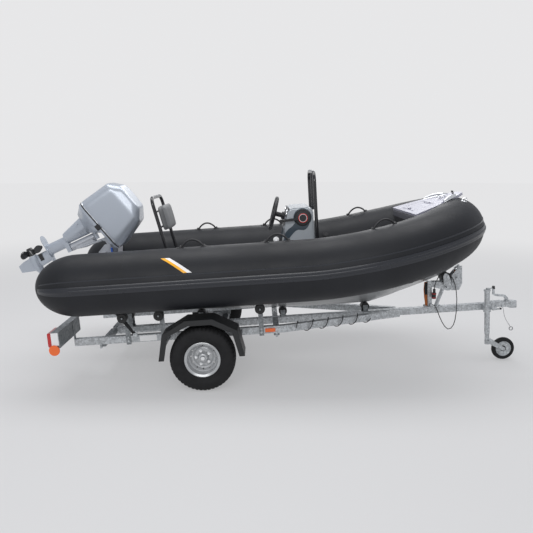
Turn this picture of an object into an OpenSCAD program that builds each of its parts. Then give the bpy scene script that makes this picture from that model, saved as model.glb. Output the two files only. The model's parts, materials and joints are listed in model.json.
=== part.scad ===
// Rigid inflatable boat with an outboard engine, parked on its road trailer.
// Row frame: +X to the bow, +Y to port, +Z up, floor at Z = 0. Boat and trailer frame are
// modelled level, with X = 0 over the trailer's axle, and are pitched nose-up as one.

/* [Stance] */
// Nose-up angle of the boat and trailer frame
nose_up_deg = 3.7; // [2:0.1:5]
// Place of the trailer's axle along the row
axle_x = -559; // [-620:1:-520]

/* [Inflatable collar] */
// Radius of the collar tube
tube_r = 250; // [205:1:300]
// Half distance between the two side tubes, centre to centre
tube_y = 676; // [600:1:760]
// Height of the side tubes' centre
tube_z = 900; // [860:1:960]
// Aft tip of the tube ends
stern_x = -1275; // [-1400:1:-1150]
// Length of the rounded tube ends
cone_len = 345; // [200:1:420]
// Where the collar starts to curve in to the bow
bow_start_x = 1300; // [1100:1:1400]
// Length of the curved bow, to the tube's centre
bow_len = 965; // [900:1:1150]
// Rise of the collar at the bow
sheer_rise = 215; // [120:1:260]
// Where the collar starts to rise
sheer_start_x = 900; // [700:1:1100]
// Height of the rubbing strake
strake_h = 70; // [50:1:90]
// Thickness of the rubbing strake
strake_t = 14; // [10:1:30]

/* [Hull] */
// Aft face of the transom
transom_x = -885; // [-940:1:-840]
// Thickness of the transom
transom_t = 45; // [35:1:55]
// Top of the transom
transom_top = 1085; // [1060:1:1095]
// Keel height at the transom
keel_aft_z = 515; // [480:1:540]
// Top of the hull moulding under the floor
hull_top = 700; // [690:1:705]
// Thickness of the cockpit floor
floor_t = 27; // [15:1:35]
// Thickness of the bow deck and its lid
bow_deck_t = 22; // [15:1:30]
// Pitch of the bow deck
bow_deck_deg = 15; // [12:0.5:18]

/* [Helm and seat] */
// Width of the console
console_w = 500; // [420:1:540]
// Top of the console
console_top = 1372; // [1340:1:1420]
// Outer diameter of the steering wheel
helm_d = 310; // [260:1:330]
// Thickness of the steering wheel's rim
helm_rim_d = 32; // [20:1:32]
// Top of the hoop in front of the console
hoop_top = 1670; // [1500:1:1800]
// Diameter of the hoop tubes
hoop_d = 30; // [24:1:34]
// Width of the seat box
seat_w = 450; // [380:1:470]
// Length of the seat box
seat_l = 360; // [300:1:380]
// Height of the seat box over the floor
seat_h = 235; // [190:1:250]
// Thickness of the seat cushion
cushion_t = 60; // [45:1:70]
// Top of the backrest hoop
backrest_top = 1535; // [1400:1:1620]

/* [Outboard engine] */
// Tilt of the engine from its running position
tilt_deg = 68.7; // [60:0.1:70]
// Tilt pin radius
tilt_pin_r = 12; // [9:0.5:14]
// Swivel tube radius
swivel_r = 35; // [30:1:40]
// Steering shaft radius
steer_shaft_r = 16; // [12:0.5:20]
// Radius of the propeller
prop_r = 122; // [100:1:122]
// Width of the cowl
cowl_w = 350; // [300:1:380]
// Wall of the cowl
cowl_wall = 8; // [4:1:12]

/* [Trailer] */
// Width of the drawbar's square tube
beam_w = 60; // [50:1:70]
// Top of the drawbar
beam_top = 352; // [340:1:360]
// Wall of the frame tubes
beam_wall = 4; // [3:1:6]
// Width of the side rails
rail_w = 50; // [40:1:60]
// Depth of the side rails
rail_h = 60; // [50:1:70]
// Distance of the side rails from the centre line
rail_y = 450; // [400:1:480]
// Top of the side rails
rail_top = 396; // [390:1:410]
// Outer radius of the road wheels
wheel_r = 265; // [240:1:275]
// Width of the tyres
tyre_w = 196; // [170:1:205]
// Centre plane of the road wheels from the centre line
track_y = 765; // [760:1:775]
// Radius of the rim under the tyre's bead
rim_r = 130; // [120:1:140]
// Radius of the wheel's stub axle
stub_r = 15; // [12:0.5:18]
// Outer radius of the jockey wheel
jockey_r = 104; // [90:1:112]
// Radius of the jockey tube
jockey_tube_r = 24; // [20:1:28]
// Radius of the ball socket
socket_r = 25.25; // [25:0.05:26]

/* [Hidden] */
$fn = 64;
// Named clearances
seat_gap = 0.3;   // between pieces that lie on each other
pin_gap = 0.06;   // radial, shaft in its bore
swing_gap = 6;    // between a moving piece and its neighbour

floor_top = hull_top + floor_t;
stand_z = floor_top + seat_gap;   // bottom of what stands on the floor
tube_sides = 32;

// ---------- shared placing ----------

// Boat and trailer frame, level, to the row
module nose_up() {
    translate([axle_x, 0, 0]) rotate([0, -nose_up_deg, 0]) children();
}

// World place of the axle line: wheels stand on the floor
module at_axle() {
    translate([axle_x, 0, wheel_r]) children();
}

// Extrudes an X-Z outline across, from y0 to y1
module across(y0, y1) {
    translate([0, y1, 0]) rotate([90, 0, 0]) linear_extrude(y1 - y0) children();
}

// Extrudes a Y-Z outline along, from x0 to x1
module along(x0, x1) {
    translate([x0, 0, 0]) rotate([90, 0, 90]) linear_extrude(x1 - x0) children();
}

// Box between two corners
module block(a, b) {
    translate(a) cube(b - a);
}

// Cylinder across, from y0 to y1 at x, z
module rod_y(x, z, r, y0, y1) {
    translate([x, y1, z]) rotate([90, 0, 0]) cylinder(r = r, h = y1 - y0);
}

// Straight bar of section w by h between the centres of its end faces
module bar(a, b, w, h) {
    d = b - a;
    translate(a) rotate([0, -asin(d.z / norm(d)), atan2(d.y, d.x)])
        translate([0, -w / 2, -h / 2]) cube([norm(d), w, h]);
}

module both_sides() {
    children();
    mirror([0, 1, 0]) children();
}

// ---------- sweeps ----------

function unit(v) = v / norm(v);
function tangent(p, i) = unit(p[min(i + 1, len(p) - 1)] - p[max(i - 1, 0)]);
function round_section(r, n) = [for (k = [0:n - 1]) r * [cos(360 * k / n), sin(360 * k / n)]];

// Sweeps a closed outline along a path; grow scales it ring by ring, ref keeps it upright
module sweep(path, section, grow = [], ref = [0, 0, 1]) {
    n = len(path);
    m = len(section);
    points = [
        for (i = [0:n - 1])
            let (t = tangent(path, i), s = unit(cross(t, ref)), u = cross(s, t), g = len(grow) > 0 ? grow[i] : 1)
                for (q = section) path[i] + g * (q.x * s + q.y * u)
    ];
    sides = [
        for (i = [0:n - 2]) for (k = [0:m - 1])
            [i * m + k, i * m + (k + 1) % m, (i + 1) * m + (k + 1) % m, (i + 1) * m + k]
    ];
    caps = [[for (k = [m - 1:-1:0]) k], [for (k = [0:m - 1]) (n - 1) * m + k]];
    polyhedron(points, concat(caps, sides), convexity = 8);
}

// ---------- inflatable collar ----------

function tube_rise(x) = sheer_rise * pow(max(0, x - sheer_start_x) / (bow_start_x + bow_len - sheer_start_x), 1.7);
function tube_point(x, y) = [x, y, tube_z + tube_rise(x)];
bow_power = 0.8;
// Starboard half of the centre line: tip, rounded end, side, then the bow's curve
cone_steps = [0, 0.03, 0.1, 0.22, 0.4, 0.65, 1];
half_path = concat(
    [for (s = cone_steps) tube_point(stern_x + cone_len * s, -tube_y)],
    [for (x = [0, 700, 1100]) tube_point(x, -tube_y)],
    [for (a = [0:9:81]) tube_point(bow_start_x + bow_len * sin(a), -tube_y * pow(cos(a), bow_power))]
);
half_grow = concat(
    [for (s = cone_steps) max(0.06, sqrt(1 - pow(1 - s, 2)))],
    [for (i = [len(cone_steps):len(half_path) - 1]) 1]
);
last = len(half_path) - 1;
function to_port(p) = [p.x, -p.y, p.z];
bow_tip = [tube_point(bow_start_x + bow_len, 0)];
collar_path = concat(half_path, bow_tip, [for (i = [last:-1:0]) to_port(half_path[i])]);
collar_grow = concat(half_grow, [1], [for (i = [last:-1:0]) half_grow[i]]);

module collar_solid(extra) {
    sweep(collar_path, round_section(tube_r + extra, tube_sides), collar_grow);
}

module collar() {
    color("#1c1d20") nose_up() collar_solid(0);
}

// D-shaped strake round the outside of the tube, at its mid height
strake_path = [for (i = [6:len(collar_path) - 7]) collar_path[i]];
strake_section = [
    [tube_r + 0.6, -strake_h / 2], [tube_r + strake_t * 0.7, -strake_h * 0.32], [tube_r + strake_t, 0],
    [tube_r + strake_t * 0.7, strake_h * 0.32], [tube_r + 0.6, strake_h / 2]
];

module rub_strake() {
    color("#26272a") nose_up() sweep(strake_path, strake_section);
}

// ---------- hull ----------

// Stations: x, keel height, half beam, chine height, top
stations = [
    [transom_x + transom_t + seat_gap, keel_aft_z, 560, 640, hull_top],
    [-400, 492, 580, 640, hull_top],
    [300, 460, 590, 640, hull_top],
    [1000, 438, 590, 645, hull_top],
    [1300, 437, 580, 655, hull_top],
    [1500, 441, 560, 672, hull_top],
    [1700, 493, 510, 690, hull_top],
    [1800, 527, 470, 694, hull_top],
    [1812, 530, 466, 700, 740],
    [1885, 552, 440, 722, 740],
    [1960, 576, 395, 748, 785],
    [2060, 608, 330, 780, 820],
    [2200, 662, 210, 820, 850],
    [2300, 720, 110, 850, 880],
    [2380, 798, 30, 870, 890]
];

module hull_rib(s) {
    along(s[0], s[0] + 0.1) polygon([
        [-12, s[1]], [12, s[1]], [s[2] * 0.82, s[3] - 22], [s[2], s[3]], [s[2] * 0.96, s[4]],
        [-s[2] * 0.96, s[4]], [-s[2], s[3]], [-s[2] * 0.82, s[3] - 22]
    ]);
}

module hull_shell() {
    color("#8f9296") nose_up() difference() {
        for (i = [0:len(stations) - 2]) hull() {
            hull_rib(stations[i]);
            hull_rib(stations[i + 1]);
        }
        collar_solid(seat_gap + 0.5);
    }
}

// Half width of the floor: it meets the side tubes under their widest point
floor_half = tube_y - sqrt(pow(tube_r, 2) - pow(tube_z - floor_top, 2)) - seat_gap;

module cockpit_floor() {
    x0 = transom_x + transom_t + seat_gap;
    color("#b9bcc0") nose_up() translate([0, 0, hull_top + seat_gap]) linear_extrude(floor_t - seat_gap) polygon([
        [x0, -floor_half], [1250, -floor_half], [1500, -floor_half - 20], [1700, -480], [1795, -445],
        [1795, 445], [1700, 480], [1500, floor_half + 20], [1250, floor_half], [x0, floor_half]
    ]);
}

module transom() {
    reach = tube_r + seat_gap + 0.2;
    side = [for (a = [-75:6.5:42]) [tube_y - reach * cos(a), tube_z + reach * sin(a)]];
    outline = concat([[0, keel_aft_z], [470, 628]], side, [[400, transom_top], [-400, transom_top]],
        [for (i = [len(side) - 1:-1:0]) [-side[i].x, side[i].y]], [[-470, 628]]);
    color("#a7aaae") nose_up() along(transom_x, transom_x + transom_t) polygon(outline);
}

// ---------- bow deck, locker and lid ----------

bow_aft_x = 1850;
bow_deck_z = 1264;   // top of the deck at its aft edge
lid_x0 = 45;         // lid's place in the deck, from the aft edge, along the slope
lid_l = 180;
lid_w = 380;
lid_gap = 5;
locker_wall = 12;

module on_bow_deck() {
    nose_up() translate([bow_aft_x, 0, bow_deck_z]) rotate([0, -bow_deck_deg, 0]) children();
}

bow_hinge = [lid_x0 + lid_l + lid_gap / 2, 5.5];
hinge_half = 60;
hinge_pin_r = 2.5;

// Deck over the bow, cut where it meets the tube, with the lid's hinge pin in two lugs
module bow_deck() {
    color("#c9cbd2") {
        difference() {
            on_bow_deck() translate([0, 0, -bow_deck_t]) linear_extrude(bow_deck_t) difference() {
                polygon([
                    [0, -415], [180, -345], [330, -262], [450, -165], [530, -70],
                    [530, 70], [450, 165], [330, 262], [180, 345], [0, 415]
                ]);
                translate([lid_x0 - lid_gap, -lid_w / 2 - lid_gap])
                    square([lid_l + 2 * lid_gap, lid_w + 2 * lid_gap]);
            }
            nose_up() collar_solid(1);
        }
        on_bow_deck() {
            rod_y(bow_hinge.x, bow_hinge.y, hinge_pin_r, -hinge_half - 10, hinge_half + 10);
            both_sides() {
                rod_y(bow_hinge.x, bow_hinge.y, 5, hinge_half + seat_gap, hinge_half + 20);
                block([bow_hinge.x, hinge_half + seat_gap, -4], [bow_hinge.x + 14, hinge_half + 20, 4]);
            }
        }
    }
}

module bow_lid() {
    color("#d4d6dc") on_bow_deck() {
        block([lid_x0, -lid_w / 2, -bow_deck_t], [lid_x0 + lid_l, lid_w / 2, 0]);
        block([lid_x0 + 8, -30, 0], [lid_x0 + 26, 30, 9]);
        difference() {
            union() {
                rod_y(bow_hinge.x, bow_hinge.y, 5, -hinge_half, hinge_half);
                block([bow_hinge.x - 14, -hinge_half, -2], [bow_hinge.x, hinge_half, 4]);
            }
            rod_y(bow_hinge.x, bow_hinge.y, hinge_pin_r + pin_gap, -hinge_half - 1, hinge_half + 1);
        }
    }
}

// Aft bulkhead of the locker: the deck lies on it
module bow_locker() {
    x = bow_aft_x;
    top = bow_deck_z - bow_deck_t / cos(bow_deck_deg) - seat_gap;
    low = 740 + seat_gap;
    color("#c3c5ca") difference() {
        nose_up() along(x, x + locker_wall) polygon([
            [-400, low], [400, low], [460, 860], [460, top - 60], [405, top], [-405, top], [-460, top - 60], [-460, 860]
        ]);
        nose_up() collar_solid(seat_gap);
    }
}

// U-bolt through the stem for the winch hook
module bow_eye() {
    color("#c8cacc") nose_up() translate([2322.7, 0, 707.2]) {
        difference() {
            rotate([90, 0, 0]) translate([0, 0, -5]) cylinder(r = 24, h = 10);
            rotate([90, 0, 0]) translate([0, 0, -6]) cylinder(r = 14, h = 12);
        }
    }
}

// ---------- console, helm and control ----------

console_x0 = 700;
console_x1 = 1010;
helm_rake = 17;                    // column above the level
helm_c = [672, 1319];              // centre of the steering wheel, x and z
column_l = 108;
dash_x = helm_c.x + column_l * cos(helm_rake);
dash_z = helm_c.y - column_l * sin(helm_rake);

module console() {
    color("#a9adb4") nose_up() across(-console_w / 2, console_w / 2) polygon([
        [console_x0 + 30, stand_z], [console_x1, stand_z], [console_x1, console_top - 30],
        [console_x1 - 25, console_top], [console_x1 - 190, console_top],
        [dash_x + (console_top - 15 - dash_z) * tan(helm_rake), console_top - 15],
        [dash_x - 90 * tan(helm_rake), dash_z - 90],
        [console_x0 + 60, dash_z - 120], [console_x0 + 10, floor_top + 90]
    ]);
}

control_c = [914, 1286];
control_r = 60;
lever_l = 185;

module remote_control() {
    y = -console_w / 2;
    color("#17181a") nose_up() {
        rod_y(control_c.x, control_c.y, control_r, y - 34, y);
        rod_y(control_c.x, control_c.y, 30, y - 51, y - 34);
        bar([control_c.x, y - 43, control_c.y], [control_c.x - lever_l, y - 43, control_c.y - 18], 10, 22);
        rod_y(control_c.x - lever_l - 4, control_c.y - 18, 17, y - 62, y - 30);
    }
}

hoop_x = console_x1 + hoop_d / 2 + 6;
hoop_half = 262;

// Round-cornered hoop in a Y-Z plane, from the floor to its top
module hoop(half, z0, z1, d, bend) {
    both_sides() {
        translate([0, half, z0]) cylinder(d = d, h = z1 - bend - z0);
        translate([0, half - bend, z1 - bend]) rotate([90, 0, 90])
            rotate_extrude(angle = 90) translate([bend, 0]) circle(d = d, $fn = 32);
    }
    rotate([90, 0, 0]) translate([0, z1, -(half - bend)]) cylinder(d = d, h = 2 * (half - bend));
}

module console_hoop() {
    color("#151618") nose_up() translate([hoop_x, 0, 0]) {
        hoop(hoop_half, stand_z, hoop_top, hoop_d, 90);
        translate([0, 0, 1330]) cylinder(d = 22, h = hoop_top - 1330);
        both_sides() block([-21, -hoop_d / 2, 1300], [-6, hoop_d / 2, 1330]);
        block([-15, -11, 1330], [-6, 11, 1350]);
    }
}

module at_helm() {
    nose_up() translate([helm_c.x, 0, helm_c.y]) rotate([0, helm_rake - 90, 0]) children();
}

// Column from the dash to the wheel's hub, with the stub that the hub turns on
module steering_column() {
    color("#202124") at_helm() {
        translate([0, 0, -column_l]) cylinder(r = 34, h = 34);
        translate([0, 0, -column_l + 34]) cylinder(r = 22, h = column_l - 34 - 22);
        translate([0, 0, -22]) cylinder(r = 9, h = 30);
    }
}

module steering_wheel() {
    color("#1a1b1d") at_helm() {
        rotate_extrude() translate([helm_d / 2 - helm_rim_d / 2, 0]) circle(d = helm_rim_d, $fn = 32);
        difference() {
            union() {
                translate([0, 0, -18]) cylinder(r = 36, h = 32);
                for (a = [90, 210, 330]) rotate(a) block([30, -14, -8], [helm_d / 2 - helm_rim_d + 6, 14, 2]);
            }
            translate([0, 0, -20]) cylinder(r = 9 + pin_gap, h = 29);
        }
    }
}

// ---------- seat ----------

seat_x0 = -280;
seat_x1 = seat_x0 + seat_l;
seat_top = floor_top + seat_h;
seat_lid_t = 18;
backrest_half = 243;

seat_hinge = [seat_x1 + 6.5, seat_top - 5];

// Open box with the lid's hinge pin in two lugs on its front
module seat_base() {
    color("#b4b6ba") nose_up() {
        difference() {
            block([seat_x0, -seat_w / 2, stand_z], [seat_x1, seat_w / 2, seat_top]);
            block([seat_x0 + 15, -seat_w / 2 + 15, floor_top + 15], [seat_x1 - 15, seat_w / 2 - 15, seat_top + 1]);
        }
        rod_y(seat_hinge.x, seat_hinge.y, hinge_pin_r, -hinge_half - 10, hinge_half + 10);
        both_sides() {
            rod_y(seat_hinge.x, seat_hinge.y, 5, hinge_half + seat_gap, hinge_half + 20);
            block([seat_x1 - 1, hinge_half + seat_gap, seat_hinge.y - 5], [seat_hinge.x, hinge_half + 20, seat_hinge.y + 2]);
        }
    }
}

module seat_lid() {
    top = seat_top + seat_gap + seat_lid_t;
    color("#c4c6ca") nose_up() {
        block([seat_x0 + 4, -seat_w / 2, seat_top + seat_gap], [seat_x1, seat_w / 2, top]);
        difference() {
            union() {
                rod_y(seat_hinge.x, seat_hinge.y, 5, -hinge_half, hinge_half);
                block([seat_x1 - 1, -hinge_half, seat_hinge.y + 6], [seat_hinge.x, hinge_half, top - 4]);
                block([seat_x1 + 2, -hinge_half, seat_hinge.y], [seat_hinge.x, hinge_half, top - 4]);
            }
            rod_y(seat_hinge.x, seat_hinge.y, hinge_pin_r + pin_gap, -hinge_half - 1, hinge_half + 1);
        }
    }
}

module seat_cushion() {
    z = seat_top + 2 * seat_gap + seat_lid_t;
    color("#74777c") nose_up()
        block([seat_x0 + 12, -seat_w / 2 + 8, z], [seat_x1 - 8, seat_w / 2 - 8, z + cushion_t]);
}

backrest_lean = 11.5;
backrest_foot = [seat_x0 + 40, 860];

module at_backrest() {
    nose_up() translate([backrest_foot.x, 0, backrest_foot.y]) rotate([0, -backrest_lean, 0]) children();
}

backrest_l = (backrest_top - backrest_foot.y) / cos(backrest_lean);

module backrest_hoop() {
    color("#151618") at_backrest() {
        hoop(backrest_half, 0, backrest_l, hoop_d, 70);
        both_sides() {
            translate([0, backrest_half, 20]) rotate([90, 0, 0]) cylinder(r = 11, h = backrest_half - seat_w / 2);
            translate([0, backrest_half, 80]) rotate([90, 0, 0]) cylinder(r = 11, h = backrest_half - seat_w / 2);
        }
        for (z = [pad_top - 38, pad_top - pad_h + 38])
            rod_y(0, z, 8, -backrest_half, backrest_half);
    }
}

pad_h = 215;
pad_t = 78;
pad_w = 420;
pad_top = backrest_l - 87;

module backrest_pad() {
    color("#7b7e83") at_backrest()
        block([8 + seat_gap, -pad_w / 2, pad_top - pad_h], [8 + seat_gap + pad_t, pad_w / 2, pad_top]);
}

// ---------- outboard engine ----------
// Engine frame: origin on the tilt pin, +Z up the drive shaft, +X to the bow when it is down

tilt_x = -825;
tilt_z = 1125;
swivel_x = -135;
cav_z = -541;
prop_z = -696;

module at_tilt() {
    nose_up() translate([tilt_x, 0, tilt_z]) children();
}

module on_engine() {
    at_tilt() rotate([0, tilt_deg, 0]) children();
}

clamp_y0 = 94;
clamp_t = 16;

// Two side brackets that straddle the transom, the tilt pin through them, and the clamp screws
module clamp_bracket() {
    slot0 = transom_x - tilt_x - seat_gap;
    slot1 = transom_x + transom_t - tilt_x + seat_gap;
    slot_z = transom_top - tilt_z + seat_gap;
    color("#b9bcc2") at_tilt() {
        both_sides() difference() {
            across(clamp_y0, clamp_y0 + clamp_t) polygon([
                [-30, 22], [14, 22], [26, 6], [30, -10], [30, -60], [14, -150], [slot1, -150], [slot1, slot_z],
                [slot0, slot_z], [slot0, -300], [slot0 - 20, -300], [slot0 - 42, -180], [slot0 - 30, -40]
            ]);
            for (i = [0:3]) rod_y(slot0 - 22 + 2 * i, -110 - 38 * i, 7, clamp_y0 - 1, clamp_y0 + clamp_t + 1);
        }
        rod_y(0, 0, tilt_pin_r, -clamp_y0 - clamp_t - 12, clamp_y0 + clamp_t + 12);
        both_sides() rod_y(0, 0, tilt_pin_r + 8, clamp_y0 + clamp_t, clamp_y0 + clamp_t + 10);
        block([slot0 - 20, -clamp_y0, -296], [slot0, clamp_y0, -270]);
    }
}

// Boss on the tilt pin, two cheeks, and the tube that the steering shaft turns in
module swivel_bracket() {
    top = -95;
    low = -330;
    boss_y = clamp_y0 - 4;
    color("#aeb2b9") on_engine() difference() {
        union() {
            rod_y(0, 0, 23, -boss_y, boss_y);
            translate([swivel_x, 0, low]) cylinder(r = swivel_r, h = top - low);
            both_sides() across(20, 34) polygon([
                [14, -18], [0, 23], [-54, 14], [-91, -40], [-91, -100], [swivel_x + 10, -130], [swivel_x + 10, -290],
                [-100, -290], [-80, -200], [-74, -52], [-56, -24]
            ]);
        }
        rod_y(0, 0, tilt_pin_r + pin_gap, -boss_y - 1, boss_y + 1);
        translate([swivel_x, 0, low - 1]) cylinder(r = steer_shaft_r + pin_gap, h = top - low + 2);
    }
}

// Outline of the seam between pan and cowl, seen from the side: aft and forward ends
seam_aft = [-452, -33];
seam_fore = [45, 92];
seam_deg = atan2(seam_fore.y - seam_aft.y, seam_fore.x - seam_aft.x);
seam_l = norm(seam_fore - seam_aft);

module on_seam() {
    on_engine() translate([seam_aft.x, 0, seam_aft.y]) rotate([0, -seam_deg, 0]) children();
}

// Rounded slab on the seam's plane
module seam_slab(inset, z0, z1, r, front = 0) {
    w = cowl_w / 2 - inset - r;
    translate([0, 0, z0]) linear_extrude(z1 - z0)
        hull() for (x = [inset + r, seam_l - inset - r - front], s = [-1, 1])
            translate([x, s * w]) circle(r = r, $fn = 32);
}

module engine_pan() {
    color("#b4b8bf") {
        on_seam() seam_slab(4, -26, -seat_gap, 70);
        difference() {
            hull() {
                on_seam() seam_slab(6, -24, -18, 68, 180);
                on_engine() block([-372, -62, -128], [-192, 62, -112]);
            }
            on_engine() block([swivel_x - 96, -31, -93], [swivel_x + 60, 31, -71]);
        }
    }
}

module cowl_form(inset, base) {
    hull() {
        seam_slab(inset, base, base + 40, 80 - inset);
        translate([8, 0, 0]) seam_slab(inset + 10, 270 - inset, 290 - inset, 80 - inset, 62);
        translate([70, 0, 0]) seam_slab(inset + 36, 355 - inset, 366 - inset, 70 - inset, 190);
    }
}

module cowl() {
    color("#c3c7cf") on_seam() difference() {
        cowl_form(0, 0);
        translate([0, 0, -cowl_wall]) cowl_form(cowl_wall, -20);
    }
}

// The engine block, as one plain mass that stands on the pan
module powerhead() {
    color("#55585c") on_seam() block([90, -105, 0], [370, 105, 250]);
}

// Exhaust housing with the steering shaft and its two yokes in front
module midsection() {
    color("#b6bac1") on_engine() {
        hull() {
            translate([-264, 0, -128.8]) linear_extrude(0.5) scale_oval(86, 58);
            translate([-229, 0, -350]) linear_extrude(0.5) scale_oval(50, 38);
        }
        translate([-200, 0, -520]) linear_extrude(170.5) scale_oval(50, 32);
        translate([swivel_x, 0, -352]) cylinder(r = steer_shaft_r, h = 352 - 76);
        block([swivel_x - 95, -30, -92], [swivel_x + 30, 30, -72]);
        block([swivel_x - 60, -34, -375], [swivel_x + 32, 34, -336]);
    }
}

module scale_oval(a, b) {
    polygon([for (k = [0:23]) [a * cos(15 * k), b * sin(15 * k)]]);
}

// Plate, lower leg, gear case and skeg
module gearcase() {
    color("#c0c4cb") on_engine() {
        translate([0, 0, cav_z]) linear_extrude(7) hull() {
            translate([-120, 0]) circle(r = 38);
            translate([-285, 0]) circle(r = 58);
        }
        translate([0, 0, cav_z + 7]) linear_extrude(14) translate([-195, 0]) scale_oval(62, 34);
        hull() {
            translate([-158, 0, cav_z]) linear_extrude(0.5) scale_oval(52, 24);
            translate([-148, 0, prop_z]) linear_extrude(0.5) scale_oval(58, 16);
        }
        translate([-215, 0, prop_z]) rotate([0, 90, 0]) cylinder(r = 38, h = 130);
        translate([-85, 0, prop_z]) rotate([0, 90, 0]) cylinder(r1 = 38, r2 = 12, h = 55);
        translate([-262, 0, prop_z]) rotate([0, 90, 0]) cylinder(r = 10 - pin_gap, h = 50);
        across(-4, 4) polygon([[-70, prop_z], [-210, prop_z], [-200, -800], [-182, -858], [-118, -858], [-92, -770]]);
    }
}

module propeller() {
    color("#141517") on_engine() translate([-217, 0, prop_z]) rotate([0, -90, 0]) difference() {
        union() {
            translate([0, 0, 1]) cylinder(r = 33, h = 50);
            translate([0, 0, 51]) cylinder(r1 = 33, r2 = 24, h = 24);
            for (a = [0:120:240]) rotate(a) prop_blade();
        }
        cylinder(r = 10, h = 46);
    }
}

module prop_blade() {
    hull() {
        translate([28, 0, 28]) rotate([62, 0, 0]) cylinder(r = 20, h = 5, center = true, $fn = 24);
        translate([74, -8, 34]) rotate([58, 0, 0]) cylinder(r = 38, h = 4, center = true, $fn = 24);
        translate([prop_r - 24, 4, 36]) rotate([52, 0, 0]) cylinder(r = 22, h = 3, center = true, $fn = 24);
    }
}

// ---------- trailer frame ----------

beam_x0 = -856;   // ahead of the lowered leg
beam_x1 = 2700;
rail_x0 = -1100;
rail_bend_x = 690;
rail_front = [1770, beam_w / 2 + 24.5, beam_top - rail_h / 2];
rail_bend = [rail_bend_x, rail_y, rail_top - rail_h / 2];

module box_tube(a, b, w, h) {
    difference() {
        bar(a, b, w, h);
        bar(a - unit(b - a), b + unit(b - a), w - 2 * beam_wall, h - 2 * beam_wall);
    }
}

module drawbar() {
    z = beam_top - beam_w / 2;
    color("#a3a7ab") nose_up() box_tube([beam_x0, 0, z], [beam_x1, 0, z], beam_w, beam_w);
}

// Straight side rail, mitred to the part that runs in to the drawbar
module rail() {
    z = rail_bend.z;
    difference() {
        union() {
            bar([rail_x0, rail_y, z], rail_bend + [9, 0, 0], rail_w, rail_h);
            bar(rail_bend, rail_front, rail_w, rail_h);
        }
        bar([rail_x0 - 1, rail_y, z], rail_bend - [20, 0, 0], rail_w - 2 * beam_wall, rail_h - 2 * beam_wall);
    }
}

module left_rail() {
    color("#b6babd") nose_up() rail();
}

module right_rail() {
    color("#b6babd") nose_up() mirror([0, 1, 0]) rail();
}

module crossmembers() {
    y0 = beam_w / 2 + seat_gap;
    y1 = rail_y - rail_w / 2 - seat_gap;
    color("#9fa3a7") nose_up() {
        for (x = [beam_x0 - 50, 600]) both_sides() block([x, y0, beam_top - 52], [x + 50, y1, beam_top - 2]);
    }
}

// Torsion beam under the frame, its two arms and the stub axles
axle_local = [wheel_r * sin(nose_up_deg), wheel_r * cos(nose_up_deg)];
torsion_x = 130;
torsion_w = 58;
hub_in = track_y - 120;

module axle() {
    top = beam_top - beam_w - seat_gap;
    mid = top - torsion_w / 2;
    stub_y0 = hub_in - swing_gap;
    color("#8d9196") nose_up() {
        block([torsion_x - torsion_w / 2, -rail_y - 110, top - torsion_w], [torsion_x + torsion_w / 2, rail_y + 110, top]);
        both_sides() {
            block([torsion_x - 50, rail_y - 20, top], [torsion_x + 50, rail_y + 20, rail_top - rail_h - seat_gap]);
            across(rail_y + 110, rail_y + 134) polygon([
                [torsion_x + 34, mid - 30], [torsion_x + 34, mid + 30], [axle_local.x - 26, axle_local.y + 27],
                [axle_local.x - 26, axle_local.y - 27]
            ]);
            rod_y(axle_local.x, axle_local.y, 30, rail_y + 134, stub_y0);
            rod_y(axle_local.x, axle_local.y, stub_r, stub_y0, track_y + 8);
        }
    }
}

// ---------- fenders ----------

fender_x = 342;       // half length at the bottom
shoulder = [298, 230];
crown = [108, 335];
fender_t = 4;
skirt = 44;
fender_y0 = track_y - tyre_w / 2 - 4;
fender_y1 = track_y + tyre_w / 2 + 10;

function arch(in) = [
    [-fender_x + in, 20], [-shoulder.x + in, shoulder.y - in * 0.35], [-crown.x + in * 0.35, crown.y - in],
    [crown.x - in * 0.35, crown.y - in], [shoulder.x - in, shoulder.y - in * 0.35], [fender_x - in, 20]
];

function arch_band(a, b) = concat(arch(a), [for (i = [5:-1:0]) arch(b)[i]]);

module fender() {
    translate([axle_local.x, 0, axle_local.y]) {
        across(fender_y0, fender_y1 - fender_t) polygon(arch_band(0, fender_t));
        across(fender_y1 - fender_t, fender_y1) polygon(arch_band(0, skirt));
    }
}

module left_fender() {
    color("#17181a") nose_up() fender();
}

module right_fender() {
    color("#17181a") nose_up() mirror([0, 1, 0]) fender();
}

stay_h = 30;
// Inner face of the fender's end, from the axle, at a height over the axle
function fender_inner(h) =
    fender_x - fender_t - (fender_x - shoulder.x) * (h - 20) / (shoulder.y - fender_t * 0.35 - 20);

// Flat stays from the rails out under each fender
module fender_stays() {
    y0 = rail_y + rail_w / 2 + seat_gap;
    z = 374;
    color("#a0a4a8") nose_up() both_sides() for (s = [-1, 1]) {
        x = axle_local.x + s * (fender_inner(z + stay_h / 2 - axle_local.y) - 8 - seat_gap);
        block([x - 8, y0, z - stay_h / 2], [x + 8, fender_y0 + 60, z + stay_h / 2]);
    }
}

// ---------- rollers ----------

keel_roller_r = 38;
keel_roller_w = 80;
// x of each keel roller and the keel height over it
keel_stops = [[-720, 507], [-60, 476], [700, 446], [1468, 440]];
side_roller_r = 42;
side_roller_y = 600;
side_roller_w = 50;
side_stops = [-640, -340, 497];
side_roller_z = 632 - side_roller_r;   // just under the hull's chine

module keel_rollers() {
    color("#121314") nose_up() for (k = keel_stops) difference() {
        rod_y(k[0], k[1] - keel_roller_r - 1, keel_roller_r, -keel_roller_w / 2, keel_roller_w / 2);
        rod_y(k[0], k[1] - keel_roller_r - 1, 8 + seat_gap, -keel_roller_w, keel_roller_w);
    }
}

module side_rollers() {
    w = side_roller_w / 2;
    color("#121314") nose_up() both_sides() for (x = side_stops) difference() {
        rod_y(x, side_roller_z, side_roller_r, side_roller_y - w, side_roller_y + w);
        rod_y(x, side_roller_z, 8 + seat_gap, side_roller_y - w - 1, side_roller_y + w + 1);
    }
}

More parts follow.
